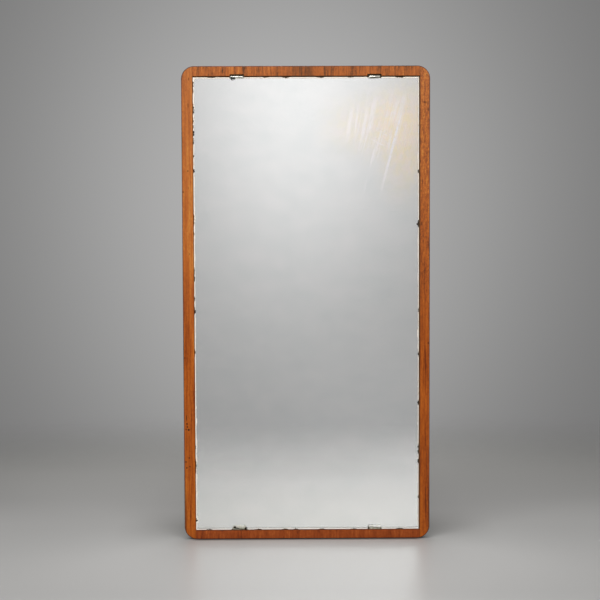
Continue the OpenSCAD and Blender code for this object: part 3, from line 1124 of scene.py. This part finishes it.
@dataclass
class FaceVeneers:
    """The four teak strips on the face, their bed edges rubbed round, chipped and dented by use.

    Each dent is (x, z, radius, depth) in millimetres. `side_gap` and `end_gap` are the room that a
    notch leaves beside a sliding clip and above its highest place. `stile_chips` and `rail_chips` are
    the mean distances from chip to chip. `fine` and `inner` are the lines of points at the bed edge and
    behind it, which on a rail take up `inner_share` of its height, and `corner_lines` the number of
    lines round a corner.
    """

    outline: BoardOutline
    step: float = 2 * MM
    rub_r: float = 0.45 * MM
    side_gap: float = 0.3 * MM
    end_gap: float = 0.3 * MM
    notch_corner: float = 0.1 * MM
    stile_chips: float = 18 * MM
    rail_chips: float = 15 * MM
    chip_w: float = 1.6 * MM
    chip_d: float = 0.35 * MM
    chip_fade: float = 0.8 * MM
    fine: tuple[float, ...] = (0.0, 0.1 * MM, 0.25 * MM, 0.5 * MM, 1.0 * MM)
    inner: tuple[float, ...] = tuple(d * MM for d in (2, 4, 6, 8, 10, 12, 14, 16))
    inner_share: float = 0.9
    corner_lines: int = 15
    dents: tuple[tuple[float, float, float, float], ...] = (
        (-243.1, -246.6, 1.6, 0.35),
        (-240.3, -254.8, 1.9, 0.45),
        (-244.1, -320.4, 1.5, 0.25),
        (-241.2, -332.8, 1.6, 0.3),
    )

    def rubbed(self, away: np.ndarray, chips: np.ndarray) -> np.ndarray:
        """How far the front lies back at a distance from the bed edge.

        Args:
            away: distance from the bed edge.
            chips: depth of the chips along the edge, which fades within a millimetre.

        Returns:
            The larger of a quarter circle, r - sqrt(r^2 - (r - away)^2), and the chips.
        """
        inside = np.clip(self.rub_r - away, 0, self.rub_r)
        round_edge = self.rub_r - np.sqrt(self.rub_r**2 - inside**2)
        return np.maximum(round_edge, chips * np.exp(-((away / self.chip_fade) ** 2)))

    def dented(self, x: np.ndarray, z: np.ndarray) -> np.ndarray:
        """Depth of the dents: each is a bell, deep * exp(-(distance / radius)^2).

        Args:
            x: places across.
            z: heights.

        Returns:
            The depth at each point.
        """
        total = np.zeros_like(z)
        for dent_x, dent_z, radius, deep in self.dents:
            square = (x - dent_x * MM) ** 2 + (z - dent_z * MM) ** 2
            total += deep * MM * np.exp(-square / (radius * MM) ** 2)
        return total

    def stile(self, node: str, seed: int) -> bpy.types.Object:
        """Upright strip: sections at x lines that are even round the corner and close at the bed edge.

        Args:
            node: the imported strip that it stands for.
            seed: seed of its chips.

        Returns:
            The closed strip.
        """
        low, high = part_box(node)
        bed, outer = sorted((abs(low.x), abs(high.x)))
        centre = self.outline.half_w - self.outline.corner_r
        radius = outer - centre
        turn = np.linspace(math.asin((bed - centre) / radius), math.pi / 2, self.corner_lines)
        lines = np.concatenate([bed + np.array(self.fine), centre + radius * np.sin(turn)[1:]])
        x = np.sort(math.copysign(1, low.x) * np.unique(np.round(lines, 7)))
        share = spread(-1, 1, self.step / self.outline.half_h)
        z = self.outline.top(x)[:, None] * share[None, :]
        away = np.broadcast_to((np.abs(x) - bed)[:, None], z.shape)
        chips = random_bumps(z[0], self.stile_chips, self.chip_w, self.chip_d, seed)
        front = self.outline.face - self.rubbed(away, chips[None, :]) - self.dented(x[:, None], z)
        return slab_object(node.replace("veneer", "face"), x, z, front, -high.y)

    def rail(self, node: str, seed: int) -> bpy.types.Object:
        """Level strip: sections across it, from the bed edge to the band, notched for sliding clips.

        Args:
            node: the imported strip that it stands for.
            seed: seed of its chips.

        Returns:
            The closed strip.
        """
        low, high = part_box(node)
        upper = high.z > 0
        x = spread(low.x, high.x, self.step)
        notches = []
        for clip, joint in zip(SLIDING_CLIPS, frame["joints"] if upper else ()):
            clip_low, clip_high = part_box(clip)
            left, right = clip_low.x - self.side_gap, clip_high.x + self.side_gap
            notches.append((left, right, clip_high.z + joint["range_m"][1] + self.end_gap))
            x = x[(x < left - self.step / 4) | (x > right + self.step / 4)]
            corners = [left - self.notch_corner, right + self.notch_corner]
            x = np.sort(np.concatenate([x, spread(left, right, self.step), corners]))
        bed = np.full_like(x, low.z if upper else high.z)
        for left, right, roof in notches:
            bed[(x > left - self.notch_corner / 2) & (x < right + self.notch_corner / 2)] = roof
        edge = self.outline.top(x) * (1 if upper else -1)
        reach = np.array([*self.fine, *self.inner])
        share = np.append(reach / reach[-1] * self.inner_share, 1.0)
        z = bed[:, None] + (edge - bed)[:, None] * share[None, :]
        chips = random_bumps(x, self.rail_chips, self.chip_w, self.chip_d, seed)
        front = self.outline.face - self.rubbed(np.abs(z - bed[:, None]), chips[:, None])
        return slab_object(node.replace("veneer", "face"), x, z, front, -high.y)

    def build(self) -> None:
        """Build the four strips and dress each in its own cut of teak."""
        left = Teak(
            "teak, left stile", strip="left_stile_veneer", seed=1.0, checks=0.6,
            flecks=(
                (-234.6, 454.1, 1.7, 4.2, 0.52), (-236.2, 401.3, 1.7, 5.6, 0.46),
                (-237.7, 270.2, 2, 2.2, 0.69), (-247.2, 228.1, 2, 2.8, 0.55),
                (-236.6, 236.1, 1.7, 2, 0.41), (-235.6, 103.2, 1.8, 2, 0.48),
                (-246.9, -107.7, 2, 2, 0.69), (-244.6, -230.2, 1.4, 9.1, 0.69),
                (-243.5, -242.5, 2.1, 2.5, 1), (-242.7, -248.7, 2, 2.2, 0.92),
                (-240.3, -254.8, 2.8, 2.8, 1), (-245.6, -253.8, 1.7, 2, 0.8),
                (-239.4, -312.3, 2, 2.1, 0.8), (-246.2, -320.4, 2.2, 2.2, 0.92),
                (-244.6, -332.8, 2.1, 2.2, 0.92), (-238.3, -329.9, 1.8, 2, 0.8),
                # long darkening along the outer edge near the foot
                (-249.5, -432, 6, 95, 0.4),
            ),
            levels=(
                (-480, 0.52), (-360, 0.64), (-250, 0.44), (-100, 0.42), (0, 0.5), (90, 0.76),
                (230, 0.8), (330, 0.62), (480, 0.52),
            ),
        )
        right = Teak(
            "teak, right stile", strip="right_stile_veneer", seed=27.0, checks=0.8, check=(1.6, 6.0),
            streak=(2.9, 70), contrast=0.8, mottle=(0.5, 2.0),
            flecks=(
                (236.3, 468.6, 1.8, 2.2, 0.4), (243.5, 461.6, 2.1, 2.8, 0.46),
                (240.4, 406.8, 5.9, 2.2, 0.43), (236.4, 378.8, 2, 2.5, 0.34),
                (234.5, 355, 1.8, 2.8, 0.34), (241, 340, 1.7, 3.4, 0.34), (239.7, 328.7, 2, 3.1, 0.4),
                (246, 392, 1.8, 4.2, 0.28), (238, 318, 1.7, 4.2, 0.28), (232.8, 229.4, 2, 3.1, 0.4),
                (232.9, 163, 2.2, 5.6, 0.5), (245.1, 125.5, 1.7, 2.2, 0.34),
                # the last is a long darkening along the outer edge near the foot
                (247.4, -79.5, 1.8, 2.2, 0.8), (249.5, -436, 5, 90, 0.4),
            ),
            levels=(
                (-480, 0.48), (-360, 0.3), (-200, 0.35), (-100, 0.37), (50, 0.38), (120, 0.4),
                (200, 0.5), (350, 0.52), (480, 0.5),
            ),
        )
        top = Teak(
            "teak, top rail", strip="top_rail_veneer", seed=51.0, checks=0.8, top_sheen="c29468",
            streak=(3.6, 45), patch=(16, 60), sway=2.0, contrast=1.3, mottle=(0.9, 0.9),
            tones=("421703", "984a13", "b45b1c", "cb7730"),
            levels=((450, 0.52), (480, 0.52)),
            heart=(
                (-226, 1.0), (-66, 0.95), (-58, 0.5), (-50, 0.9), (-30, 0.7), (-20, 0.3), (-10, 0.42),
                (2, 0.4), (13, 0.3), (20, 0.75), (48, 0.8), (55, 0.45), (62, 0.85), (230, 0.9),
            ),
        )
        bottom = Teak(
            "teak, bottom rail", strip="bottom_rail_veneer", seed=83.0, checks=0.5, mottle=(0.7, 0.7),
            streak=(4.0, 45), patch=(16, 60), sway=2.0,
            tones=("5a2008", "8c3e14", "9f4b1b", "b8622a"),
            levels=((-480, 0.54), (-450, 0.54)),
        )
        for seed, finish in enumerate((left, right, top, bottom), start=11):
            make = self.stile if "stile" in finish.strip else self.rail
            settle(make(finish.strip, seed), [finish], finish.strip)


@dataclass
class EdgeBands:
    """The band round the board: a rounded section carried along the outline, nicked along its front.

    `ticks` are the places of the five deep nicks in the top band, in millimetres. `flank` holds the
    depths of the points on the outer side, and `arc_points` is the number of points round a corner of
    the section. Wear goes `wear_in` of a nick's depth inwards and `wear_back` of it back.
    """

    outline: BoardOutline
    round_r: float = 0.8 * MM
    back_r: float = 0.3 * MM
    step: float = 1.2 * MM
    nick_spacing: float = 14 * MM
    nick_w: float = 2.5 * MM
    nick_d: float = 0.5 * MM
    ticks: tuple[float, ...] = (-83.4, -49.3, -23.3, -15.3, -3.2)
    tick_w: float = 1.3 * MM
    tick_d: float = 0.9 * MM
    wear_fade: float = 1.2 * MM
    wear_in: float = 0.6
    wear_back: float = 0.8
    flank: tuple[float, ...] = tuple(d * MM for d in (3, 7, 11, 15))
    arc_points: int = 6

    def section(self) -> np.ndarray:
        """Section of the band: two quarter circles at its outer corners, and straight lines.

        Returns:
            Points (distance inwards, depth), from the back round the outside to the front.
        """
        turn = np.linspace(0, math.pi / 2, self.arc_points)
        rear = np.stack([self.back_r * (1 - np.sin(turn)), self.back_r * (1 - np.cos(turn))], axis=-1)
        outer = np.stack([np.zeros(len(self.flank)), self.flank], axis=-1)
        corner = np.array([self.round_r, self.outline.face - self.round_r])
        front = corner + self.round_r * np.stack([-np.cos(turn), np.sin(turn)], axis=-1)
        inner = np.array([[self.outline.band_t, self.outline.face], [self.outline.band_t, 0.0]])
        return np.concatenate([rear, outer, front, inner])

    def side_path(self, sign: float) -> tuple[np.ndarray, np.ndarray]:
        """Outer edge of one side with its two corners: quarter circle, straight, quarter circle.

        Args:
            sign: -1 for the left side, 1 for the right side.

        Returns:
            Points (x, z) and inward directions (x, z).
        """
        radius = self.outline.corner_r
        centre_x, centre_z = self.outline.half_w - radius, self.outline.half_h - radius
        turn = np.linspace(0, math.pi / 2, int(radius * math.pi / 2 / self.step))
        arc = np.stack([np.cos(turn), np.sin(turn)], axis=-1)
        straight = spread(-centre_z, centre_z, self.step)[1:-1]
        outward = np.concatenate([arc[::-1] * [1, -1], np.tile([1.0, 0.0], (len(straight), 1)), arc])
        centres = np.concatenate([
            np.tile([centre_x, -centre_z], (len(arc), 1)),
            np.stack([np.full_like(straight, centre_x), straight], axis=-1),
            np.tile([centre_x, centre_z], (len(arc), 1)),
        ])
        points = centres + radius * outward
        return points * [sign, 1], -outward * [sign, 1]

    def end_path(self, sign: float) -> tuple[np.ndarray, np.ndarray]:
        """Outer edge of one end between the corners: a level line.

        Args:
            sign: 1 for the top, -1 for the bottom.

        Returns:
            Points (x, z) and inward directions (x, z).
        """
        half = self.outline.half_w - self.outline.corner_r
        x = spread(-half, half, self.step)
        points = np.stack([x, np.full_like(x, sign * self.outline.half_h)], axis=-1)
        return points, np.tile([0.0, -sign], (len(x), 1))

    def carried(
        self, name: str, path: tuple[np.ndarray, np.ndarray], nicks: np.ndarray
    ) -> bpy.types.Object:
        """Carry the section along a path and wear its front corner.

        A point of the section at (inwards, depth) goes to edge + inwards * inward direction, and wear
        moves it inwards and back by nick * exp(-distance from the corner / wear_fade).

        Args:
            name: the piece's name.
            path: points and inward directions of the outer edge.
            nicks: depth of wear at each point of the path.

        Returns:
            The closed band, with the attribute `run` of girth and distance along it.
        """
        points, inward = path
        section = self.section()
        near = np.exp(-np.hypot(*(section - [0.0, self.outline.face]).T) / self.wear_fade)
        near[-1] = 0.0
        wear = nicks[:, None] * near[None, :]
        inwards = np.minimum(section[None, :, 0] + self.wear_in * wear, self.outline.band_t)
        depth = section[None, :, 1] - self.wear_back * wear
        edge = points[:, None, :] + inwards[:, :, None] * inward[:, None, :]
        rings = np.stack([edge[..., 0], -depth, edge[..., 1]], axis=-1)
        piece = solid_object(name, rings, Cap.POLYGON)
        run, girth = (
            np.concatenate([[0], np.cumsum(np.hypot(*np.diff(line, axis=0).T))])
            for line in (points, section)
        )
        values = np.zeros((len(run), len(girth), 3))
        values[..., 0] = girth[None, :]
        values[..., 2] = run[:, None]
        attribute = piece.data.attributes.new("run", "FLOAT_VECTOR", "POINT")
        attribute.data.foreach_set("vector", values.ravel())
        return piece

    def build(self) -> None:
        """Build the four lengths of band, with nicks strewn along each and ticks in the top one."""
        left = TeakBand("teak band, left", seed=3.0, foot_darkening=0.7)
        right = TeakBand("teak band, right", seed=12.0, foot_darkening=0.7)
        top = TeakBand("teak band, top", seed=33.0)
        # the bottom band is much darker: partly its own worn dark edge, partly painted shade under the
        # board's foot
        bottom = TeakBand("teak band, bottom", seed=42.0, tones=("140602", "2a1006", "4a2210"))
        for node, finish, path, axis, seed in (
            ("left_edge_band", left, self.side_path(-1.0), 1, 31),
            ("right_edge_band", right, self.side_path(1.0), 1, 32),
            ("top_edge_band", top, self.end_path(1.0), 0, 41),
            ("bottom_edge_band", bottom, self.end_path(-1.0), 0, 42),
        ):
            places = path[0][:, axis]
            nicks = random_bumps(places, self.nick_spacing, self.nick_w, self.nick_d, seed)
            if node == "top_edge_band":
                ticks = np.array(self.ticks) * MM
                each = np.ones(len(ticks))
                nicks = nicks + smooth_bumps(places, ticks, self.tick_w * each, self.tick_d * each)
            piece = self.carried(node.replace("band", "lipping"), path, nicks)
            settle(piece, [finish], node)


@dataclass
class Board:
    """The board behind the face: core, ply strips, back veneer and the card behind the glass."""

    core: Finish = SawnWood(
        "blockboard, sawn", roughness=0.75, layer=11.0, tones=("5f4830", "84684a", "a5875f")
    )
    ply: Finish = SawnWood(
        "birch ply, sawn edge", roughness=0.7, layer=1.1, tones=("4f3926", "7a5c3e", "9c7b56")
    )
    back: Finish = BackVeneer("back veneer, unoiled", roughness=0.7)
    card: Finish = Card("packing card", roughness=0.9)

    def build(self) -> None:
        """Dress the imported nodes."""
        dress(self.core, "backing_board")
        dress(self.ply, "left_stile", "right_stile", "top_rail", "bottom_rail")
        dress(self.back, "back_veneer")
        dress(self.card, "packing_card")


@dataclass
class Pane:
    """The mirror glass: a clear pane ground along its front edges, and the silver behind it.

    `arris` holds the drop and the width in millimetres of the arris at the left, right, bottom and top
    side, and how much the chips widen it, as a share of its width. Where there is no chip it is
    `narrowest` times as wide. `lift` is the air between the pane and the silver. A face whose normal
    has less than `polished` of its length along Y is ground.
    """

    arris: tuple[tuple[float, float, float], ...] = (
        (0.3, 2.2, 0.5), (0.12, 1.5, 0.6), (0.1, 2.9, 0.2), (0.4, 1.9, 0.4),
    )
    narrowest: float = 0.9
    chip_spacing: float = 24 * MM
    chip_w: float = 6 * MM
    lift: float = 0.05 * MM
    polished: float = 0.9999
    step: float = 5 * MM
    fine: tuple[float, ...] = tuple(d * MM for d in (0.0, 0.5, 1.0, 1.5, 2.0, 2.5, 3.2, 4.2))

    def glass(self) -> bpy.types.Object:
        """Pane with a mitred arris whose width wanders and widens in small chips.

        The front lies back by the largest of four drops. Each is drop * max(0, 1 - r), where r is the
        distance from a side divided by the arris's width there. The faces that slope, and the edges
        of the pane, are ground.

        Returns:
            The closed pane, its ground faces numbered 1.
        """
        low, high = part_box("mirror_glass")
        x = spread(low.x, high.x, self.step, self.fine)[:, None]
        z = spread(low.z, high.z, self.step, self.fine)[None, :]
        drops = []
        sides = ((x - low.x, z), (high.x - x, z), (z - low.z, x), (high.z - z, x))
        for seed, ((away, line), (drop, width, chips)) in enumerate(zip(sides, self.arris), start=61):
            bumps = random_bumps(line.ravel(), self.chip_spacing, self.chip_w, chips, seed)
            widths = width * MM * (self.narrowest + bumps.reshape(line.shape))
            drops.append(drop * MM * np.clip(1 - away / widths, 0, 1))
        front = -low.y - np.max(drops, axis=0)
        heights = np.broadcast_to(z, front.shape)
        piece = slab_object("mirror_pane", x[:, 0], heights, front, -high.y + self.lift)
        normals = np.zeros(len(piece.data.polygons) * 3)
        piece.data.polygons.foreach_get("normal", normals)
        ground = np.abs(normals.reshape(-1, 3)[:, 1]) < self.polished
        piece.data.polygons.foreach_set("material_index", ground.astype(np.int32))
        return piece

    def build(self) -> None:
        """Build the pane and dress the silvering."""
        edges = (
            EdgeLoss(Side.LEFT, (
                (444, 6.5, 3.0), (430, 6, 2.4), (394, 11, 2.8), (371, 6, 1.9), (359, 3.5, 2.0),
                (345.5, 5.5, 4.0), (330, 7, 2.2), (300, 2.5, 1.9), (270, 4, 3.8),
            )),
            EdgeLoss(Side.LEFT, (
                (172, 12, 1.9), (143.5, 3, 1.9), (67, 8, 2.0), (52.6, 4.5, 2.7), (12, 3.5, 2.5),
                (-12.3, 6, 4.3), (-97.6, 7, 1.9), (-290, 3, 2.0), (-330, 14, 2.0), (-441, 3, 4.2),
            )),
            EdgeLoss(Side.RIGHT, (
                (268, 4, 2.6), (162.5, 5.8, 5.2), (-12, 3.6, 2.7), (-102, 4, 2.0), (-201.7, 4, 2.8),
                (-291, 3.5, 3.2), (-301.6, 3.5, 3.2), (-321, 4, 2.8), (-395, 3, 1.9),
            )),
            EdgeLoss(Side.TOP, (
                (-190, 8, 1.8), (-146.2, 6.4, 6.6), (-80, 6, 1.6), (-40, 7, 2.4), (30, 8, 1.8),
                (90, 6, 1.6), (190, 10, 2.0),
            )),
            EdgeLoss(Side.BOTTOM, (
                (-200, 6, 1.8), (-150, 4, 3.0), (-123.5, 2.6, 4.4), (-100, 7, 2.0), (-45, 5, 2.6),
                (-23, 4, 2.8), (30, 6, 1.8), (95, 6, 2.0), (190, 8, 2.0),
            )),
        )
        streaks = (
            Streak((207, 442), (146, 206), 4.2, 1.0),
            Streak((204, 438), (178, 345), 7.5, 0.6),
            Streak((192, 430), (168, 352), 6.5, 0.55),
            Streak((134, 392), (127, 338), 3.0, 0.8),
            Streak((143, 430), (124, 330), 7.5, 0.6),
            Streak((127, 412), (109, 312), 5.5, 0.6),
            Streak((107, 410), (97, 330), 3.4, 0.5),
            Streak((95, 412), (82, 320), 6.0, 0.5),
            Streak((144, 336), (127, 268), 3.0, 0.6),
            Streak((172, 356), (166, 300), 4.0, 0.6),
            Streak((124, 264), (115, 214), 2.6, 0.3),
            Streak((125, 336), (163, 317), 1.5, 0.75),
            Streak((140, 352), (172, 336), 1.4, 0.6),
        )
        clear = FloatGlass("float glass, polished", roughness=0.0)
        ground = GroundGlass("glass edge, ground", roughness=0.62, edges=edges)
        settle(self.glass(), [clear, ground], "mirror_glass")
        dress(Silvering("silver, painted behind", edges=edges, streaks=streaks), "silvering")


@dataclass
class Clips:
    """Four nickel clips that hold the glass, and their screws."""

    ease: float = 0.28 * MM

    def build(self) -> None:
        """Copy each clip with eased edges, give it its own tarnishing and painted shade, and dress the
        screws.
        """
        # each clip's dark patches and fade are partly tarnishing and partly painted shade and painted dark
        # reflections
        wear = {
            "upper_left_clip": Nickel("nickel, upper left clip", tarnish_and_shade="2a302f", tarnish_and_shade_patches=(
                (-146.6, 453.9, 9.0, 6.2, 1.0), (-131, 459.0, 9.0, 1.8, 0.4),
                (-133, 457.0, 10.0, 1.4, 0.7), (-124.5, 459.0, 2.4, 3.4, 0.95),
                (-152.2, 459, 3.0, 3.0, 0.8),
            )),
            "upper_right_clip": Nickel("nickel, upper right clip", seed=7.0, tarnish_and_shade_patches=(
                (124.6, 458.6, 4.6, 3.0, 1.0), (139, 456.5, 16.0, 2.0, 0.9),
                (151.4, 457.4, 4.6, 3.8, 1.0), (146, 459.0, 10.0, 1.8, 0.5),
                (138, 460.3, 20.0, 1.3, 0.8), (133, 454.8, 8.0, 1.4, 0.6),
            )),
            "lower_left_clip": Nickel(
                "nickel, lower left clip", seed=14.0, fade=(-453.4, -461.0), tarnish_and_shade_patches=(
                    (-147.6, -455.6, 4.0, 3.0, 1.0), (-143, -457.8, 6.0, 2.2, 0.7),
                    (-124.4, -458.8, 4.6, 5.0, 1.0), (-131, -459.8, 8.0, 1.6, 0.45),
                ),
            ),
            "lower_right_clip": Nickel(
                "nickel, lower right clip", seed=21.0, fade=(-455.8, -458.4), tarnish_and_shade_depth=0.55,
                tones=("716d5b", "bcb8a6", "f2f0e4", "ffffff"), tarnish_and_shade_patches=(
                    (125.4, -457.8, 3.0, 4.4, 0.8), (131, -456.3, 6.0, 1.4, 0.6),
                    (138, -457.1, 6.0, 1.4, 0.6), (145, -457.9, 6.0, 1.4, 0.55),
                    (151.4, -458.8, 3.0, 3.0, 0.7),
                ),
            ),
        }
        for node, finish in wear.items():
            body = node if node in SLIDING_CLIPS else ROOT_BODY
            settle(eased_copy(node, self.ease, 3), [finish], node, body)
        steel = PlatedSteel("screw steel", roughness=0.4, tones=("5d5c59", "86857f", "a3a29b"))
        dress(steel, "upper_clip_screws", "lower_clip_screws")


@dataclass
class HangingPlates:
    """Two keyhole plates let into the back, and their countersunk screws."""

    ease: float = 0.18 * MM
    screw_ease: float = 0.1 * MM

    def build(self) -> None:
        """Copy the plates and the screws with eased edges and dress them."""
        zinc = PlatedSteel("zinc plate")
        steel = PlatedSteel("plate screw steel", tones=("66655f", "8f8e87", "adaca4"), seed=5.0)
        settle(eased_copy("keyhole_plates", self.ease), [zinc], "keyhole_plates")
        settle(eased_copy("plate_screws", self.screw_ease), [steel], "plate_screws")


@dataclass
class PhotoCamera:
    """Camera where the photographer's stood: a little above the middle, looking slightly down."""

    place: Point = (-0.050, -3.598, 0.266)
    yaw: float = 0.593
    pitch: float = 4.104
    roll: float = -0.207
    lens: float = 106.4
    sensor: float = 36.0

    def build(self) -> None:
        """Make the camera. It looks along +Y at zero angles, turned to +X by yaw and down by pitch."""
        yaw, pitch, roll = (math.radians(angle) for angle in (self.yaw, self.pitch, self.roll))
        turn = Matrix.Rotation(-yaw, 4, "Z") @ Matrix.Rotation(math.pi / 2 - pitch, 4, "X")
        camera = bpy.data.cameras.new("photo camera")
        camera.lens = self.lens
        camera.sensor_width = self.sensor
        camera.clip_start = 0.05
        holder = placed("photo camera", camera)
        holder.matrix_world = Matrix.Translation(self.place) @ turn @ Matrix.Rotation(roll, 4, "Z")
        bpy.context.scene.camera = holder


@dataclass(frozen=True)
class Glow:
    """Soft patch of light in the room, by its direction, its half widths in degrees and its strength."""

    azimuth: float
    elevation: float
    wide: float
    high: float
    strength: float


@dataclass
class Studio:
    """Plain pale studio: a floor that fades out, soft lamps, and a room that glows softly around.

    `tones` are the paper's colours from 2.5 m in front of the mirror to 1.5 m behind it; they are painted
    light and shade, lightest about 0.7 m in front of the mirror and darker far in front and behind,
    where the lamps' light falls off. `rim` is half the floor's width and `lines` the number of its grid
    lines. `apart` keeps a glow in front of the mirror from showing behind it.
    """

    floor_z: float
    base: float = 0.15
    rim: float = 3.2
    lines: int = 33
    apart: float = 3.0
    glows: tuple[Glow, ...] = (
        Glow(0.1, -0.5, 6.0, 6.7, 0.31),
        Glow(0.1, -7.6, 4.5, 2.6, 0.035),
        Glow(179.5, 3.4, 3.0, 4.9, 0.69),
        Glow(175.6, 3.5, 1.0, 4.0, 0.045),
        Glow(176.5, -8.0, 2.4, 1.9, 0.05),
        Glow(179.5, 4.2, 26.0, 26.0, 0.25),
        Glow(171.5, 14.5, 6.0, 2.8, 4.8),
    )
    tones: tuple[tuple[float, str], ...] = (
        (0.0, "b0afad"), (0.3, "b8b7b5"), (0.4, "c0bfbd"), (0.46, "c4c3c1"), (0.505, "bab9b7"),
        (0.58, "b9b8b6"), (0.65, "b3b2b0"), (0.72, "b1b0ae"), (0.82, "b3b2af"), (1.0, "a2a19d"),
    )

    def room(self) -> None:
        """Light the world: a grey base and bell-shaped glows, each strength * exp(-distance^2 / 2)."""
        world = bpy.data.worlds.new("studio room")
        bpy.context.scene.world = world
        way = Pattern.over(world, "Generated")
        bells = []
        for glow in self.glows:
            azimuth, elevation = math.radians(glow.azimuth), math.radians(glow.elevation)
            centre = np.array([
                math.sin(azimuth) * math.cos(elevation),
                math.cos(azimuth) * math.cos(elevation),
                math.sin(elevation),
            ])
            scale = np.array([1 / math.radians(glow.wide), self.apart, 1 / math.radians(glow.high)])
            moved = {"Vector": way.place, "Location": tuple(-centre * scale), "Scale": tuple(scale)}
            moved = way.node("Mapping", moved)
            square = way.node("VectorMath", [moved, moved], out="Value", operation="DOT_PRODUCT")
            fall = way.node("Math", [square, -0.5], operation="MULTIPLY")
            bells.append((way.node("Math", [fall], operation="EXPONENT"), glow.strength))
        strength = way.node("Math", [way.weigh(*bells), self.base], operation="ADD")
        surface = way.node("Background", {"Color": (1.0, 0.995, 0.99, 1.0), "Strength": strength})
        way.node("OutputWorld", [surface])

    def floor(self) -> None:
        """Lay the floor: a grid whose material fades into the room towards its rim."""
        line = np.linspace(-self.rim, self.rim, self.lines)
        x, y = np.meshgrid(line, line, indexing="ij")
        points = np.stack([x, y, np.full_like(x, self.floor_z)], axis=-1)
        index = np.arange(x.size).reshape(x.shape)
        corners = (index[:-1, :-1], index[1:, :-1], index[1:, 1:], index[:-1, 1:])
        faces = np.stack(corners, axis=-1).reshape(-1, 4)
        mesh = bpy.data.meshes.new("studio_floor")
        mesh.from_pydata(points.reshape(-1, 3).tolist(), [], faces.tolist())
        mesh.materials.append(self.paper())
        placed("studio_floor", mesh)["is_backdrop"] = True

    def paper(self) -> bpy.types.Material:
        """Matt pale paper, shaded round the mirror's foot, which turns clear towards the floor's rim.

        It turns clear through fine dust, so that no line shows.

        Returns:
            The paper's material.
        """
        material = bpy.data.materials.new("studio paper")
        pattern = Pattern.over(material)
        node = pattern.node
        deep = node("SeparateXYZ", [pattern.place], out="Y")
        aside = pattern.apart((1.0, 0.0, 0.0), 0.0)
        behind = pattern.apart((0.0, 1.0, 0.0), 0.09)
        layers = []
        for painted_shade, most, (near, far), line, (start, end) in (
            ("1d130d", 1.0, (0.24, 0.22), deep, (-0.034, -0.02)),  # painted contact shadow under and just in front of the board's front edge
            ("8a8986", 0.6, (0.40, 0.25), behind, (0.2, 0.04)),  # shade just behind the foot
            ("1c1c1b", 0.24, (0.36, 0.78), deep, (0.15, 0.45)),  # painted shade far to both sides, where the lamps' light falls off
        ):
            across = node("MapRange", [aside, near, far, 0, most])
            along = node("MapRange", [line, start, end])
            layers.append((node("Math", [across, along], operation="MULTIPLY"), painted_shade))
        # painted light and shade by distance along Y, from `tones`
        colour = node("ValToRGB", [node("MapRange", [deep, -2.5, 1.5])], stops=self.tones)
        colour = pattern.overlay(colour, *layers)
        sheet = node("BsdfPrincipled", {"Base Color": colour, "Roughness": 0.39})
        reach = {"Vector": pattern.place, "Location": (0, -0.015, 0), "Scale": (1 / 2.7, 1 / 1.66, 0)}
        far = node("VectorMath", [node("Mapping", reach)], out="Value", operation="LENGTH")
        dust = node("TexWhiteNoise", {"Vector": pattern.place}, noise_dimensions="3D")
        far = node("Math", [dust, 0.4, far], operation="MULTIPLY_ADD")
        fade = node("MapRange", [far, 0.75, 1.2], interpolation_type="SMOOTHSTEP")
        node("OutputMaterial", [node("MixShader", [fade, sheet, node("BsdfTransparent")])])
        return material

    def lamp(
        self,
        name: str,
        place: Point,
        target: Point,
        size: tuple[float, float],
        power: float,
    ) -> None:
        """Hang one soft rectangular lamp.

        Args:
            name: its name.
            place: where it hangs.
            target: the point it faces.
            size: its width and height in metres.
            power: its power in watts.
        """
        light = bpy.data.lights.new(name, "AREA")
        light.shape = "RECTANGLE"
        light.size, light.size_y = size
        light.energy = power
        turn = (Vector(target) - Vector(place)).to_track_quat("-Z", "Y").to_matrix().to_4x4()
        placed(name, light).matrix_world = Matrix.Translation(place) @ turn

    def pool(self, place: Point, power: float, radius: float = 0.2, angle: float = 31.0) -> None:
        """Hang a soft spot lamp that shines straight down in front of the mirror.

        Args:
            place: where it hangs.
            power: its power in watts.
            radius: its own radius in metres, which softens its shadows.
            angle: the width of its cone in degrees.
        """
        light = bpy.data.lights.new("pool", "SPOT")
        light.energy = power
        light.shadow_soft_size = radius
        light.spot_size = math.radians(angle)
        light.spot_blend = 1.0
        placed("pool", light).location = place

    def build(self) -> None:
        """Set up the room, the floor and the lamps, with colours shown as they are."""
        self.room()
        self.floor()
        self.lamp("key", (-0.35, -2.3, 2.3), (0, 0, 0.1), (3.4, 1.2), 92)
        self.lamp("overhead", (0.0, 0.95, 1.5), (0, 0.95, -0.48), (0.7, 0.7), 13)
        self.pool((0.0, -0.3, 1.6), 61)
        bpy.context.scene.view_settings.view_transform = "Standard"


def main() -> None:
    """Build the camera and the studio, then the mirror from its face to its back."""
    logging.basicConfig(level=logging.INFO, format="%(name)s: %(message)s")
    outline = BoardOutline.from_frame()
    PhotoCamera().build()
    Studio(floor_z=-outline.half_h - 0.2 * MM).build()
    FaceVeneers(outline).build()
    EdgeBands(outline).build()
    Board().build()
    Pane().build()
    Clips().build()
    HangingPlates().build()
    boxes = {"cad": CAD_BOX, "visual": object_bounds()}
    {name: [list(corner) for corner in box] for name, box in boxes.items()}


if __name__ == "__main__":
    main()
